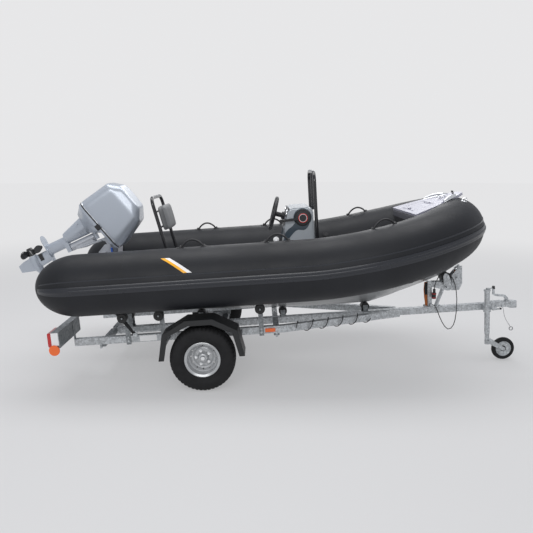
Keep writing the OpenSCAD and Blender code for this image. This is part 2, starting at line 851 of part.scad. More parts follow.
// Keel brackets on the drawbar, posts on the rails, and the roller pins
module roller_brackets() {
    y0 = keel_roller_w / 2 + 3;
    foot = rail_y + rail_w / 2 + seat_gap;
    w = side_roller_w / 2;
    color("#b1b5b8") nose_up() {
        for (k = keel_stops) {
            z = k[1] - keel_roller_r - 1;
            rod_y(k[0], z, 8, -y0 - 10, y0 + 10);
            both_sides() block([k[0] - 22, y0, beam_top + seat_gap], [k[0] + 22, y0 + 5, z + 14]);
            block([k[0] - 30, -y0 - 5, beam_top + seat_gap], [k[0] + 30, y0 + 5, beam_top + seat_gap + 5]);
        }
        both_sides() {
            for (x = side_stops) {
                block([x - 20, foot, rail_top - rail_h - 14], [x + 20, foot + 8, side_roller_z + 9]);
                rod_y(x, side_roller_z, 8, foot + 8, side_roller_y + w + 8);
            }
            block([side_stops[0] + 20, foot, rail_top + 40], [side_stops[1] - 20, foot + 8, rail_top + 80]);
        }
    }
}

// ---------- winch post and winch ----------

post_x = 2074;
post_top = 594;
bow_roller_c = [2222.6, 629.6];

module winch_post() {
    y = beam_w / 2 + seat_gap;
    color("#b3b7ba") nose_up() {
        block([post_x - 20, -25, beam_top + seat_gap], [post_x + 20, 25, post_top]);
        block([post_x - 50, -42, beam_top + seat_gap], [post_x + 110, 42, beam_top + seat_gap + 6]);
        bar([2136, 0, beam_top + 5], [2214, 0, 545], 50, 18);
        both_sides() across(25, 31) polygon([
            [post_x - 20, post_top], [post_x - 20, 556], [2235, 500], [2262, 500], [2262, 556], [2180, 588]
        ]);
        both_sides() across(60, 66) polygon([
            [2195, 560], [2262, 530], [2262, 590], [2240, 650], [2222, 669], [2202, 669], [2188, 640]
        ]);
        both_sides() block([2222, 25, 528], [2255, 62, 554]);
        block([2070, -50, beam_top + seat_gap], [2086, -38, 384]);
        rod_y(bow_roller_c.x, bow_roller_c.y, 7, -72, 72);
    }
}

module bow_roller() {
    color("#101112") nose_up() translate([bow_roller_c.x, 0, bow_roller_c.y]) rotate([90, 0, 0]) rotate_extrude()
        polygon([[7.5, -56], [46, -56], [46, -48], [30, 0], [46, 48], [46, 56], [7.5, 56]]);
}

// Side plates, drum, gear and crank
module winch() {
    color("#8c9095") nose_up() {
        both_sides() across(34, 38) polygon([
            [2275, 505], [2345, 505], [2372, 560], [2372, 726], [2350, 726], [2275, 640]
        ]);
        block([2276, -37, 500], [2344, 37, 507]);
        block([2262.3, -36, 508], [2284, 36, 552]);
        rod_y(2322, 612, 11, -56, -19);
        rod_y(2322, 612, 40, -20, 20);
        rod_y(2322, 612, 11, 19, 62);
        rod_y(2322, 612, 50, 26, 32);
        rod_y(2345, 690, 9, 28, 78);
        rod_y(2345, 690, 9, -42, -28);
        bar([2345, 70, 690], [2400, 70, 560], 8, 20);
        rod_y(2398, 566, 12, 70, 120);
    }
}

// Webbing from the drum to the bow eye
module winch_strap() {
    color("#c06a28") nose_up() bar([2314, 0, 652.1], [2320, 0, 682.7], 40, 3);
}

// ---------- coupling ----------

socket_x = 2854;

module coupling() {
    z0 = beam_top - beam_w - 2;
    color("#b9bdc0") nose_up() difference() {
        union() {
            block([2622, -beam_w / 2 - 6, beam_top - 40], [2752, beam_w / 2 + 6, beam_top + 8]);
            block([2741, -46, 311], [2752, -beam_w / 2, 323]);
            block([2740, -30, beam_top - 46], [socket_x, 30, beam_top + 4]);
            translate([socket_x, 0, z0 + 4]) cylinder(r = 40, h = 60);
            translate([2800, 0, beam_top]) cylinder(r = 24, h = 14);
        }
        block([2590, -beam_w / 2 - seat_gap, z0], [beam_x1 + seat_gap, beam_w / 2 + seat_gap, beam_top + seat_gap]);
        translate([socket_x, 0, z0]) cylinder(r = socket_r, h = 38);
        for (x = [2645, 2680]) rod_y(x, beam_top - 28, 6, -60, 60);
    }
}

module coupling_handle() {
    color("#aeb2b5") nose_up() difference() {
        across(-14, 14) polygon([
            [2800, beam_top + 14.3], [2816, beam_top + 26], [2790, beam_top + 62], [2700, beam_top + 76],
            [2672, beam_top + 70], [2700, beam_top + 58], [2774, beam_top + 48], [2790, beam_top + 14.3]
        ]);
        rod_y(2790, beam_top + 34, 5, -20, 20);
    }
}

// ---------- jockey wheel ----------

jockey_x = 2583;
jockey_y = -90;
jockey_top = 484;
jockey_low = 20;
// Wheel centre: it stands on the floor in front of the tube
jockey_wheel_x = 2729 + axle_x;
fork_x = 140;
jockey_wheel_w = 46;

module jockey_clamp() {
    color("#9a9ea2") nose_up() difference() {
        union() {
            translate([jockey_x, jockey_y, beam_top - 62]) cylinder(r = jockey_tube_r + 9, h = 66);
            block([jockey_x - 30, jockey_y, beam_top - 52], [jockey_x + 30, -beam_w / 2 - seat_gap, beam_top - 8]);
            rod_y(jockey_x + 30, beam_top - 30, 8, jockey_y - 60, jockey_y);
            bar([jockey_x + 30, jockey_y - 56, beam_top - 30], [jockey_x + 105, jockey_y - 56, beam_top - 26], 14, 14);
        }
        translate([jockey_x, jockey_y, beam_top - 70]) cylinder(r = jockey_tube_r + seat_gap, h = 90);
    }
}

// Outer tube with its crank on top, and the inner tube that ends in a spigot
module jockey_tube() {
    color("#bcc0c3") nose_up() translate([jockey_x, jockey_y, 0]) {
        translate([0, 0, jockey_low + 60]) cylinder(r = jockey_tube_r, h = jockey_top - jockey_low - 60);
        translate([0, 0, jockey_low]) cylinder(r = 20, h = 60);
        translate([0, 0, jockey_low - 30]) cylinder(r = 9, h = 30);
        translate([0, 0, jockey_top]) cylinder(r = 30, h = 14);
        translate([0, 0, jockey_top + 14]) cylinder(r = 10, h = 16);
        bar([0, 0, jockey_top + 24], [62, 0, jockey_top + 24], 18, 8);
        translate([58, 0, jockey_top - 34]) cylinder(r = 11, h = 56);
    }
}

fork_cheek_y = jockey_wheel_w / 2 + 5;
wheel_local_x = (2729 * cos(nose_up_deg) + jockey_r * sin(nose_up_deg)) - jockey_x;
wheel_local_z = -2729 * sin(nose_up_deg) + jockey_r * cos(nose_up_deg);
jockey_pin_r = 6;

module jockey_fork() {
    z1 = jockey_low - swing_gap + 5;
    color("#aeb2b6") nose_up() translate([jockey_x, jockey_y, 0]) difference() {
        union() {
            translate([0, 0, z1 - 40]) cylinder(r = 22, h = 40);
            block([0, -fork_cheek_y - 5, z1 - 34], [44, fork_cheek_y + 5, z1]);
            both_sides() across(fork_cheek_y, fork_cheek_y + 5) polygon([
                [10, z1], [44, z1], [wheel_local_x + 14, wheel_local_z + 8], [wheel_local_x + 8, wheel_local_z - 14],
                [wheel_local_x - 12, wheel_local_z - 14], [10, z1 - 34]
            ]);
            rod_y(wheel_local_x, wheel_local_z, jockey_pin_r, -fork_cheek_y, fork_cheek_y);
        }
        translate([0, 0, z1 - 50]) cylinder(r = 9 + pin_gap, h = 60);
    }
}

module jockey_wheel() {
    w = jockey_wheel_w / 2;
    color("#1b1c1e") translate([jockey_wheel_x, jockey_y, jockey_r]) rotate([90, 0, 0]) rotate_extrude(convexity = 6)
        polygon([
            [jockey_pin_r + pin_gap, -w], [24, -w], [24, -8], [62, -8], [68, -18], [88, -w], [jockey_r - 6, -w + 4],
            [jockey_r, -10], [jockey_r, 10], [jockey_r - 6, w - 4], [88, w], [68, 18], [62, 8], [24, 8], [24, w],
            [jockey_pin_r + pin_gap, w]
        ]);
}

// ---------- lamps ----------

board_x = -1105;
board_d = 64;
board_z0 = 426;
board_z1 = 556;
board_y0 = 280;
board_y1 = 800;
sheet_t = 3;

// A channel on each side, open between them so that the engine can swing down
module lamp_boards() {
    color("#c3c6ca") nose_up() both_sides() {
        block([board_x - sheet_t, board_y0, board_z0], [board_x, board_y1, board_z1]);
        block([board_x - board_d, board_y0, board_z1 - sheet_t], [board_x - sheet_t, board_y1, board_z1]);
        block([board_x - board_d, board_y0, board_z0], [board_x - sheet_t, board_y1, board_z0 + sheet_t]);
        block([board_x - board_d, board_y1 - sheet_t, board_z0], [board_x - sheet_t, board_y1, board_z1]);
        block([board_x, rail_y - 20, rail_top - rail_h - 2], [rail_x0 - seat_gap, rail_y + 20, board_z1 - 12]);
        block([board_x - 40, board_y1, 372], [board_x - 36, board_y1 + 2, 440]);
    }
}

module rear_lamps() {
    z = board_z0 + sheet_t + 4;
    color("#b3161b") nose_up() both_sides()
        block([board_x - board_d - 34, 610, z], [board_x - sheet_t - seat_gap, board_y1 - sheet_t - 4, board_z1 - sheet_t - 4]);
}

module side_markers() {
    color("#f07a1c") nose_up() both_sides() {
        rod_y(board_x - 46, 412, 43, board_y1 + 2 + seat_gap, board_y1 + 14);
        block([528, rail_y + rail_w / 2 + seat_gap, rail_top - 46], [614, rail_y + rail_w / 2 + 12, rail_top - 14]);
    }
}

// ---------- road wheels ----------

rim_w = 150;

module tyre() {
    w = tyre_w / 2;
    b = rim_w / 2 - 8.6;
    rotate([90, 0, 0]) rotate_extrude(convexity = 6) polygon([
        [rim_r + 0.5, -b], [rim_r + 22, -b - 6], [180, -w + 3], [205, -w], [232, -w + 5], [252, -w + 20],
        [wheel_r - 3, -w + 38], [wheel_r, -w + 58], [wheel_r, w - 58], [wheel_r - 3, w - 38], [252, w - 20],
        [232, w - 5], [205, w], [180, w - 3], [rim_r + 22, b + 6], [rim_r + 0.5, b],
        [rim_r + 0.5, b - 14], [rim_r + 16, b - 16], [rim_r + 52, w - 18], [235, w - 22], [246, 0],
        [235, -w + 22], [rim_r + 52, -w + 18], [rim_r + 16, -b + 16], [rim_r + 0.5, -b + 14]
    ]);
}

// Pressed rim with its hub: bore on the inner side, cap on the outer
module rim() {
    b = rim_w / 2;
    hub_len = 120;
    difference() {
        rotate([90, 0, 0]) rotate_extrude(convexity = 8) polygon([
            [stub_r + pin_gap, -hub_len], [42, -hub_len], [42, -20], [70, -18], [84, -26], [96, -24],
            [112, 2], [118, -4], [118, -b + 4], [rim_r + 10, -b - 4], [rim_r + 14, -b - 2], [rim_r + 14, -b + 4],
            [rim_r, -b + 8], [rim_r, b - 8], [rim_r + 14, b - 4], [rim_r + 14, b + 2], [rim_r + 10, b + 4],
            [rim_r - 6, b - 4], [rim_r - 12, 14], [112, 10], [96, -12], [84, -16], [70, -8], [46, -8],
            [34, 30], [28, 34], [0.01, 34], [0.01, 12], [stub_r + pin_gap, 12]
        ]);
        for (k = [0:11]) rotate([0, 30 * k, 0]) translate([100, 0, 0]) rotate([90, 0, 0]) cylinder(r = 7, h = 90, center = true);
    }
}

module left_tyre() {
    color("#1a1a1b") at_axle() translate([0, track_y, 0]) tyre();
}

module right_tyre() {
    color("#1a1a1b") at_axle() translate([0, -track_y, 0]) tyre();
}

module left_rim() {
    color("#c2c5c8") at_axle() translate([0, track_y, 0]) mirror([0, 1, 0]) rim();
}

module right_rim() {
    color("#c2c5c8") at_axle() translate([0, -track_y, 0]) rim();
}

// ---------- cables ----------
// Routes are in the row's axes with x counted from the axle

cable_d = 8;
wire_d = 4;
hang_y = -62;
cable_route = [
    [2060, -44, 512], [2078, -52, 506], [2096, -60, 484], [2110, hang_y, 448], [2130, hang_y, 400],
    [2154, hang_y, 352], [2182, hang_y, 308], [2212, hang_y, 282], [2242, hang_y, 290], [2264, hang_y, 322],
    [2276, hang_y, 370], [2282, hang_y, 430], [2284, hang_y, 500], [2281, hang_y, 570], [2272, hang_y, 640],
    [2256, hang_y, 706], [2232, hang_y, 764], [2200, hang_y, 806], [2162, hang_y, 822], [2124, hang_y, 806],
    [2096, hang_y, 770], [2078, hang_y, 728], [2069, hang_y, 700], [2067, hang_y, 682], [2067, hang_y, 664.4]
];
wire_route = [
    [2722, -42, 486], [2726, -46, 474], [2730, -48, 456], [2735, -49, 430], [2742, -50, 402],
    [2754, -50, 374], [2772, -50, 346], [2790, -50, 320], [2804, -50, 300]
];

module from_axle() {
    translate([axle_x, 0, 0]) children();
}

module trailer_cable() {
    color("#111214") from_axle() sweep(cable_route, round_section(cable_d / 2, 8), ref = [0, 1, 0]);
}

module trailer_plug() {
    color("#1d1e20") from_axle() translate([2067, hang_y, 574]) {
        cylinder(r = 19, h = 56);
        translate([0, 0, 56]) cylinder(r = 12, h = 34);
    }
}

module breakaway_cable() {
    color("#9a9da1") from_axle() sweep(wire_route, round_section(wire_d / 2, 8), ref = [0, 1, 0]);
}

module breakaway_clip() {
    color("#c0c3c6") from_axle() translate([2811, -50, 282]) rotate([90, 0, 0]) translate([0, 0, -3]) difference() {
        cylinder(r = 19, h = 6);
        translate([0, 0, -1]) cylinder(r = 13, h = 8);
    }
}

// Lighting cable wound round the right rail's inward run, in the level frame
wrap_turns = 5;
wrap_r = 44.8;
function rail_run(t) = rail_bend + (rail_front - rail_bend) * t;
function to_starboard(p) = [p.x, -p.y, p.z];
wrap_a = to_starboard(rail_run(0.08));
wrap_b = to_starboard(rail_run(0.72));
wrap_dir = unit(wrap_b - wrap_a);
wrap_side = unit(cross(wrap_dir, [0, 0, 1]));
wrap_up = cross(wrap_side, wrap_dir);
wrap_path = [
    for (k = [0:12 * wrap_turns]) let (a = 30 * k)
        wrap_a + (wrap_b - wrap_a) * k / (12 * wrap_turns) + wrap_r * (cos(a) * wrap_side + sin(a) * wrap_up)
];

module rail_cable() {
    color("#151617") nose_up() sweep(wrap_path, round_section(cable_d / 2, 8), ref = wrap_dir);
}

hull_shell();  // hull
cockpit_floor();
transom();
collar();
rub_strake();
bow_deck();
bow_locker();
bow_lid();
bow_eye();
console();
remote_control();
console_hoop();
steering_column();
steering_wheel();
seat_base();
seat_lid();
seat_cushion();
backrest_hoop();
backrest_pad();
clamp_bracket();
swivel_bracket();
engine_pan();
cowl();
powerhead();
midsection();
gearcase();
propeller();
drawbar();
left_rail();
right_rail();
crossmembers();
axle();
left_fender();
right_fender();
fender_stays();
roller_brackets();
keel_rollers();
side_rollers();
winch_post();
bow_roller();
winch();
winch_strap();
coupling();
coupling_handle();
jockey_clamp();
jockey_tube();
jockey_fork();
jockey_wheel();
lamp_boards();
rear_lamps();
side_markers();
left_tyre();
left_rim();
right_tyre();
right_rim();
rail_cable();
trailer_cable();
trailer_plug();
breakaway_cable();
breakaway_clip();
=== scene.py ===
"""Rigid inflatable boat with a tilted outboard engine, standing on its road trailer.

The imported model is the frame. Everything added here rides on one of its bodies.
Shapes are given in millimetres in the frame of what carries them, and made in metres.
"""

import json
import math

import bmesh
import bpy
from mathutils import Matrix, Vector

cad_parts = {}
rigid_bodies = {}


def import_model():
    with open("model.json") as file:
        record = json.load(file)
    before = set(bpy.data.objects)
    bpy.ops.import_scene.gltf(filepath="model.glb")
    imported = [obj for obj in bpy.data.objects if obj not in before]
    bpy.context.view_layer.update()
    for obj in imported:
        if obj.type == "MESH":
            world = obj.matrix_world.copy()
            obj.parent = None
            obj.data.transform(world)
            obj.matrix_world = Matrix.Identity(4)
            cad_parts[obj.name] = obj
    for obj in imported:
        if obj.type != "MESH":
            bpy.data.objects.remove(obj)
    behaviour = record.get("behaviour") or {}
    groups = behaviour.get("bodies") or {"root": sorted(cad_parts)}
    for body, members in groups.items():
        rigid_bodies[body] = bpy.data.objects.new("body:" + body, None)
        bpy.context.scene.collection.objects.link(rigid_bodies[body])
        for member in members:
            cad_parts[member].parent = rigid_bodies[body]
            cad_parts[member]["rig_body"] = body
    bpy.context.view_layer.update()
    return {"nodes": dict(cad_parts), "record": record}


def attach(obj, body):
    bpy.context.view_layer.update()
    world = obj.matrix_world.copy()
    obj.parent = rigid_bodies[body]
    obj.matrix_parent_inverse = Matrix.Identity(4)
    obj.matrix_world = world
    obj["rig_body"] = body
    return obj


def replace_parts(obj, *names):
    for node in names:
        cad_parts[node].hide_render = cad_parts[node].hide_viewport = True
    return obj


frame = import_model()
nodes = frame["nodes"]

HULL = "boat_and_trailer"

# ---------- driving sizes, as in the part's source (mm) ----------

AXLE_X = -559
WHEEL_R = 265
TRACK_Y = 765
NOSE_UP = 3.7  # degrees
TILT_PIVOT = (-825, 1125)
ENGINE_TILT = 68.7  # degrees
TUBE_R = 250
TUBE_Y = 676
TUBE_Z = 900
STERN_X = -1275
CONE_LEN = 345
BOW_START = 1300
BOW_LEN = 965
BOW_POWER = 0.8
SHEER_RISE = 215
SHEER_START = 900
SHEER_POWER = 1.7
STRAKE_H = 70
STRAKE_T = 14
DECK_EDGE = (1850, 1264)
DECK_SLOPE = 15  # degrees
CONSOLE_W = 500
CONTROL = (914, 1286)
HELM_CENTRE = (672, 1319)
HELM_RAKE = math.radians(17)
COLUMN_LEN = 108
SEAT_TOP = 962
SEAT_LID = 18.6
CUSHION_T = 60
BACKREST_FOOT = (-240, 860)
BACKREST_TOP = 1535
BACKREST_LEAN = 11.5  # degrees
PAD_DROP = 87
RAIL_Y = 450
RAIL_HALF = 25
BEAM_TOP = 352

SIDES = ((-1, "starboard"), (1, "port"))


def turned(x, y, z, degrees):
    """A frame at x, y, z in millimetres, turned about Y."""
    return Matrix.Translation(Vector((x, y, z)) / 1000) @ Matrix.Rotation(math.radians(degrees), 4, "Y")


# The frames that carry shapes: the floor's, the wheels', the boat's pitched one, and what sits in that
ROW = Matrix()
AXLE = Matrix.Translation((AXLE_X / 1000, 0, WHEEL_R / 1000))
LEVEL = turned(AXLE_X, 0, 0, -NOSE_UP)
ENGINE = LEVEL @ turned(TILT_PIVOT[0], 0, TILT_PIVOT[1], ENGINE_TILT)
SEAM = ENGINE @ turned(-452, 0, -33, -14.115)
BOW_DECK = LEVEL @ turned(DECK_EDGE[0], 0, DECK_EDGE[1], -DECK_SLOPE)
BACKREST = LEVEL @ turned(BACKREST_FOOT[0], 0, BACKREST_FOOT[1], -BACKREST_LEAN)

# ---------- camera ----------


def make_camera():
    data = bpy.data.cameras.new("camera")
    data.lens = 38.07
    data.sensor_width = 36
    camera = bpy.data.objects.new("camera", data)
    camera.location = (-0.1068, -5.1210, 1.7823)
    camera.rotation_euler = (math.pi / 2 - 0.1767, 0, -0.0133)
    bpy.context.scene.collection.objects.link(camera)
    bpy.context.scene.camera = camera


make_camera()

# ---------- materials ----------


class Look:
    """A Principled material; mottle, grain and ribs are procedural, in the piece's own coordinates."""

    def __init__(self, name, color, rough, metal=0.0, coat=0.0, specular=0.5):
        self.material = bpy.data.materials.new(name)
        self.material.use_nodes = True
        self.tree = self.material.node_tree
        self.shader = self.tree.nodes["Principled BSDF"]
        self.color = color
        self.rough = rough
        self.height = None
        self.shader.inputs["Base Color"].default_value = (*color, 1)
        self.shader.inputs["Roughness"].default_value = rough
        self.shader.inputs["Metallic"].default_value = metal
        self.shader.inputs["Coat Weight"].default_value = coat
        self.shader.inputs["Coat Roughness"].default_value = 0.12
        self.shader.inputs["Specular IOR Level"].default_value = specular
        self.place = self.tree.nodes.new("ShaderNodeTexCoord").outputs["Object"]
        self.material.diffuse_color = (*color, 1)

    def noise(self, scale, detail=3, roughness=0.55):
        node = self.tree.nodes.new("ShaderNodeTexNoise")
        node.inputs["Scale"].default_value = scale
        node.inputs["Detail"].default_value = detail
        node.inputs["Roughness"].default_value = roughness
        self.tree.links.new(self.place, node.inputs["Vector"])
        return node.outputs["Fac"]

    def cells(self, scale):
        node = self.tree.nodes.new("ShaderNodeTexVoronoi")
        node.inputs["Scale"].default_value = scale
        self.tree.links.new(self.place, node.inputs["Vector"])
        return node.outputs["Color"]

    def waves(self, scale, direction="Z"):
        node = self.tree.nodes.new("ShaderNodeTexWave")
        node.bands_direction = direction
        node.inputs["Scale"].default_value = scale
        self.tree.links.new(self.place, node.inputs["Vector"])
        return node.outputs["Fac"]

    def ramp(self, value, low, high, dark, light):
        node = self.tree.nodes.new("ShaderNodeValToRGB")
        node.color_ramp.elements[0].position = low
        node.color_ramp.elements[1].position = high
        node.color_ramp.elements[0].color = (*dark, 1)
        node.color_ramp.elements[1].color = (*light, 1)
        self.tree.links.new(value, node.inputs["Fac"])
        return node.outputs["Color"]

    def mottle(self, value, amount, low=0.3, high=0.7):
        dark = [c * (1 - amount) for c in self.color]
        light = [min(1, c * (1 + amount)) for c in self.color]
        self.tree.links.new(self.ramp(value, low, high, dark, light), self.shader.inputs["Base Color"])
        return self

    def polish(self, value, rough0, rough1, low=0.3, high=0.7):
        out = self.ramp(value, low, high, [rough0] * 3, [rough1] * 3)
        self.tree.links.new(out, self.shader.inputs["Roughness"])
        return self

    def bump(self, value, strength, distance):
        node = self.tree.nodes.new("ShaderNodeBump")
        node.inputs["Strength"].default_value = strength
        node.inputs["Distance"].default_value = distance
        self.tree.links.new(value, node.inputs["Height"])
        if self.height is not None:
            self.tree.links.new(self.height, node.inputs["Normal"])
        self.height = node.outputs["Normal"]
        self.tree.links.new(self.height, self.shader.inputs["Normal"])
        return self


def fabric_black():
    look = Look("tube_fabric", (0.0095, 0.0105, 0.0135), 0.5, specular=0.34)
    look.mottle(look.noise(2.2, 5), 0.2).polish(look.noise(3.5, 4), 0.46, 0.6)
    look.bump(look.noise(5, 3), 0.25, 0.006).bump(look.noise(900, 2), 0.12, 0.0004)
    return look


def strake_black():
    look = Look("strake_rubber", (0.018, 0.020, 0.026), 0.3)
    look.polish(look.noise(6, 4), 0.24, 0.38).bump(look.noise(400), 0.1, 0.0004)
    return look


def gelcoat(name, color, rough=0.3, grip=False):
    look = Look(name, color, rough, coat=0.25)
    look.mottle(look.noise(3, 4), 0.06)
    if grip:
        look.bump(look.cells(170), 0.25, 0.0008)
    return look


def galvanised(name="galvanised", color=(0.50, 0.52, 0.535)):
    look = Look(name, color, 0.42, metal=0.75)
    look.mottle(look.cells(70), 0.22, 0.2, 0.85).polish(look.noise(30, 5), 0.32, 0.58)
    look.bump(look.noise(45, 4), 0.12, 0.0006)
    return look


def plastic(name, color, rough=0.55):
    look = Look(name, color, rough)
    look.bump(look.noise(700), 0.15, 0.0003)
    return look


def tyre_rubber():
    look = Look("tyre_rubber", (0.012, 0.012, 0.013), 0.75, specular=0.3)
    look.mottle(look.noise(14, 4), 0.25).bump(look.noise(350), 0.2, 0.0004)
    return look


def vinyl(name, color):
    look = Look(name, color, 0.55)
    look.mottle(look.noise(8, 4), 0.08).bump(look.cells(420), 0.2, 0.0004)
    return look


def lens(name, color):
    look = Look(name, color, 0.12, coat=0.6)
    look.bump(look.waves(60, "Z"), 0.25, 0.0008)
    return look


def silver_paint(name, color):
    look = Look(name, color, 0.3, metal=0.35, coat=0.45)
    look.mottle(look.noise(1500, 1), 0.04)
    return look


def webbing(name, color):
    look = Look(name, color, 0.8)
    look.bump(look.waves(260, "DIAGONAL"), 0.4, 0.0008)
    return look


TUBE = fabric_black()
STRAKE = strake_black()
HULL_GREY = gelcoat("hull_gelcoat", (0.20, 0.205, 0.21), 0.35)
DECK = gelcoat("deck_gelcoat", (0.50, 0.505, 0.54), 0.35, grip=True)
BOW_GREY = gelcoat("bow_gelcoat", (0.33, 0.33, 0.40), 0.34)
# Near-black painted shade on the bow locker's face, so it reads as a dark opening
LOCKER_OPENING_SHADE = gelcoat("locker_painted_shade", (0.012, 0.012, 0.014), 0.5)
# Dark grey painted shade for the band under the bow deck's aft edge
SHADE_UNDER_DECK = gelcoat("deck_edge_painted_shade", (0.075, 0.075, 0.088), 0.45, grip=True)
CONSOLE_GREY = gelcoat("console_gelcoat", (0.40, 0.43, 0.46), 0.28)
CONSOLE_BAND = gelcoat("console_band", (0.045, 0.065, 0.085), 0.3)
BLACK_TUBE = Look("black_tube", (0.012, 0.012, 0.014), 0.22, coat=0.4)
BLACK_PLASTIC = plastic("black_plastic", (0.016, 0.016, 0.018), 0.45)
FENDER_PLASTIC = plastic("fender_plastic", (0.011, 0.012, 0.013), 0.5)
CUSHION = vinyl("cushion_vinyl", (0.15, 0.155, 0.16))
SILVER = silver_paint("engine_silver", (0.43, 0.47, 0.53))
BRIGHT = Look("bright_trim", (0.75, 0.77, 0.80), 0.18, metal=1.0)
ALLOY = Look("engine_alloy", (0.50, 0.52, 0.56), 0.38, metal=0.6)
BLOCK_IRON = Look("engine_block", (0.08, 0.08, 0.085), 0.6, metal=0.4)
SCREW_BLACK = Look("screw_black", (0.014, 0.014, 0.015), 0.25, coat=0.5)
ZINC = galvanised()
# Zinc darker than the rails' partly for weathering and partly as painted shade for the parts in the boat's
# shadow
ZINC_WEATHERED_SHADED = galvanised("galvanised_weathered_and_shaded", (0.26, 0.275, 0.285))
ROLLER = plastic("roller_rubber", (0.014, 0.014, 0.015), 0.5)
ORANGE_WEB = webbing("webbing_orange", (0.42, 0.13, 0.035))
BLACK_WEB = webbing("webbing_black", (0.016, 0.016, 0.018))
TYRE = tyre_rubber()
RIM = silver_paint("rim_steel", (0.47, 0.48, 0.49))
CHROME = Look("chrome", (0.86, 0.87, 0.88), 0.08, metal=1.0)
RED_LENS = lens("red_lens", (0.50, 0.012, 0.012))
ORANGE_LENS = lens("orange_lens", (0.85, 0.14, 0.012))
WHITE = Look("white_plate", (0.80, 0.80, 0.80), 0.35)
YELLOW_PAINT = Look("stripe_yellow", (0.90, 0.42, 0.012), 0.4)
WHITE_PAINT = Look("stripe_white", (0.82, 0.82, 0.82), 0.4)
RED_RING = Look("control_red", (0.60, 0.02, 0.015), 0.3)
BLUE = Look("tilt_lever_blue", (0.02, 0.10, 0.45), 0.35)
CABLE = Look("cable_black", (0.012, 0.012, 0.013), 0.4)
WIRE = Look("wire_steel", (0.25, 0.255, 0.26), 0.35, metal=0.8)
GAUGE = Look("gauge_glass", (0.02, 0.025, 0.03), 0.05, coat=1.0)

# ---------- making shapes ----------


def add_piece(name, mesh, look, slot, body, smooth=35):
    """Puts a mesh in the scene as a piece that rides on a body, smooth below an angle in degrees."""
    shape = bmesh.new()
    shape.from_mesh(mesh)
    bmesh.ops.recalc_face_normals(shape, faces=shape.faces)
    for face in shape.faces:
        face.smooth = True
    for edge in shape.edges:
        edge.smooth = edge.calc_face_angle(0) < math.radians(smooth)
    shape.to_mesh(mesh)
    shape.free()
    mesh.materials.clear()
    mesh.materials.append(look.material)
    piece = bpy.data.objects.new(name, mesh)
    bpy.context.scene.collection.objects.link(piece)
    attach(piece, body)
    return piece


def bevel_edges(form, edges, width, segments=2):
    """Rounds edges by a width in millimetres."""
    offset = width / 1000
    bmesh.ops.bevel(form, geom=edges, offset=offset, segments=segments, affect="EDGES", clamp_overlap=True)


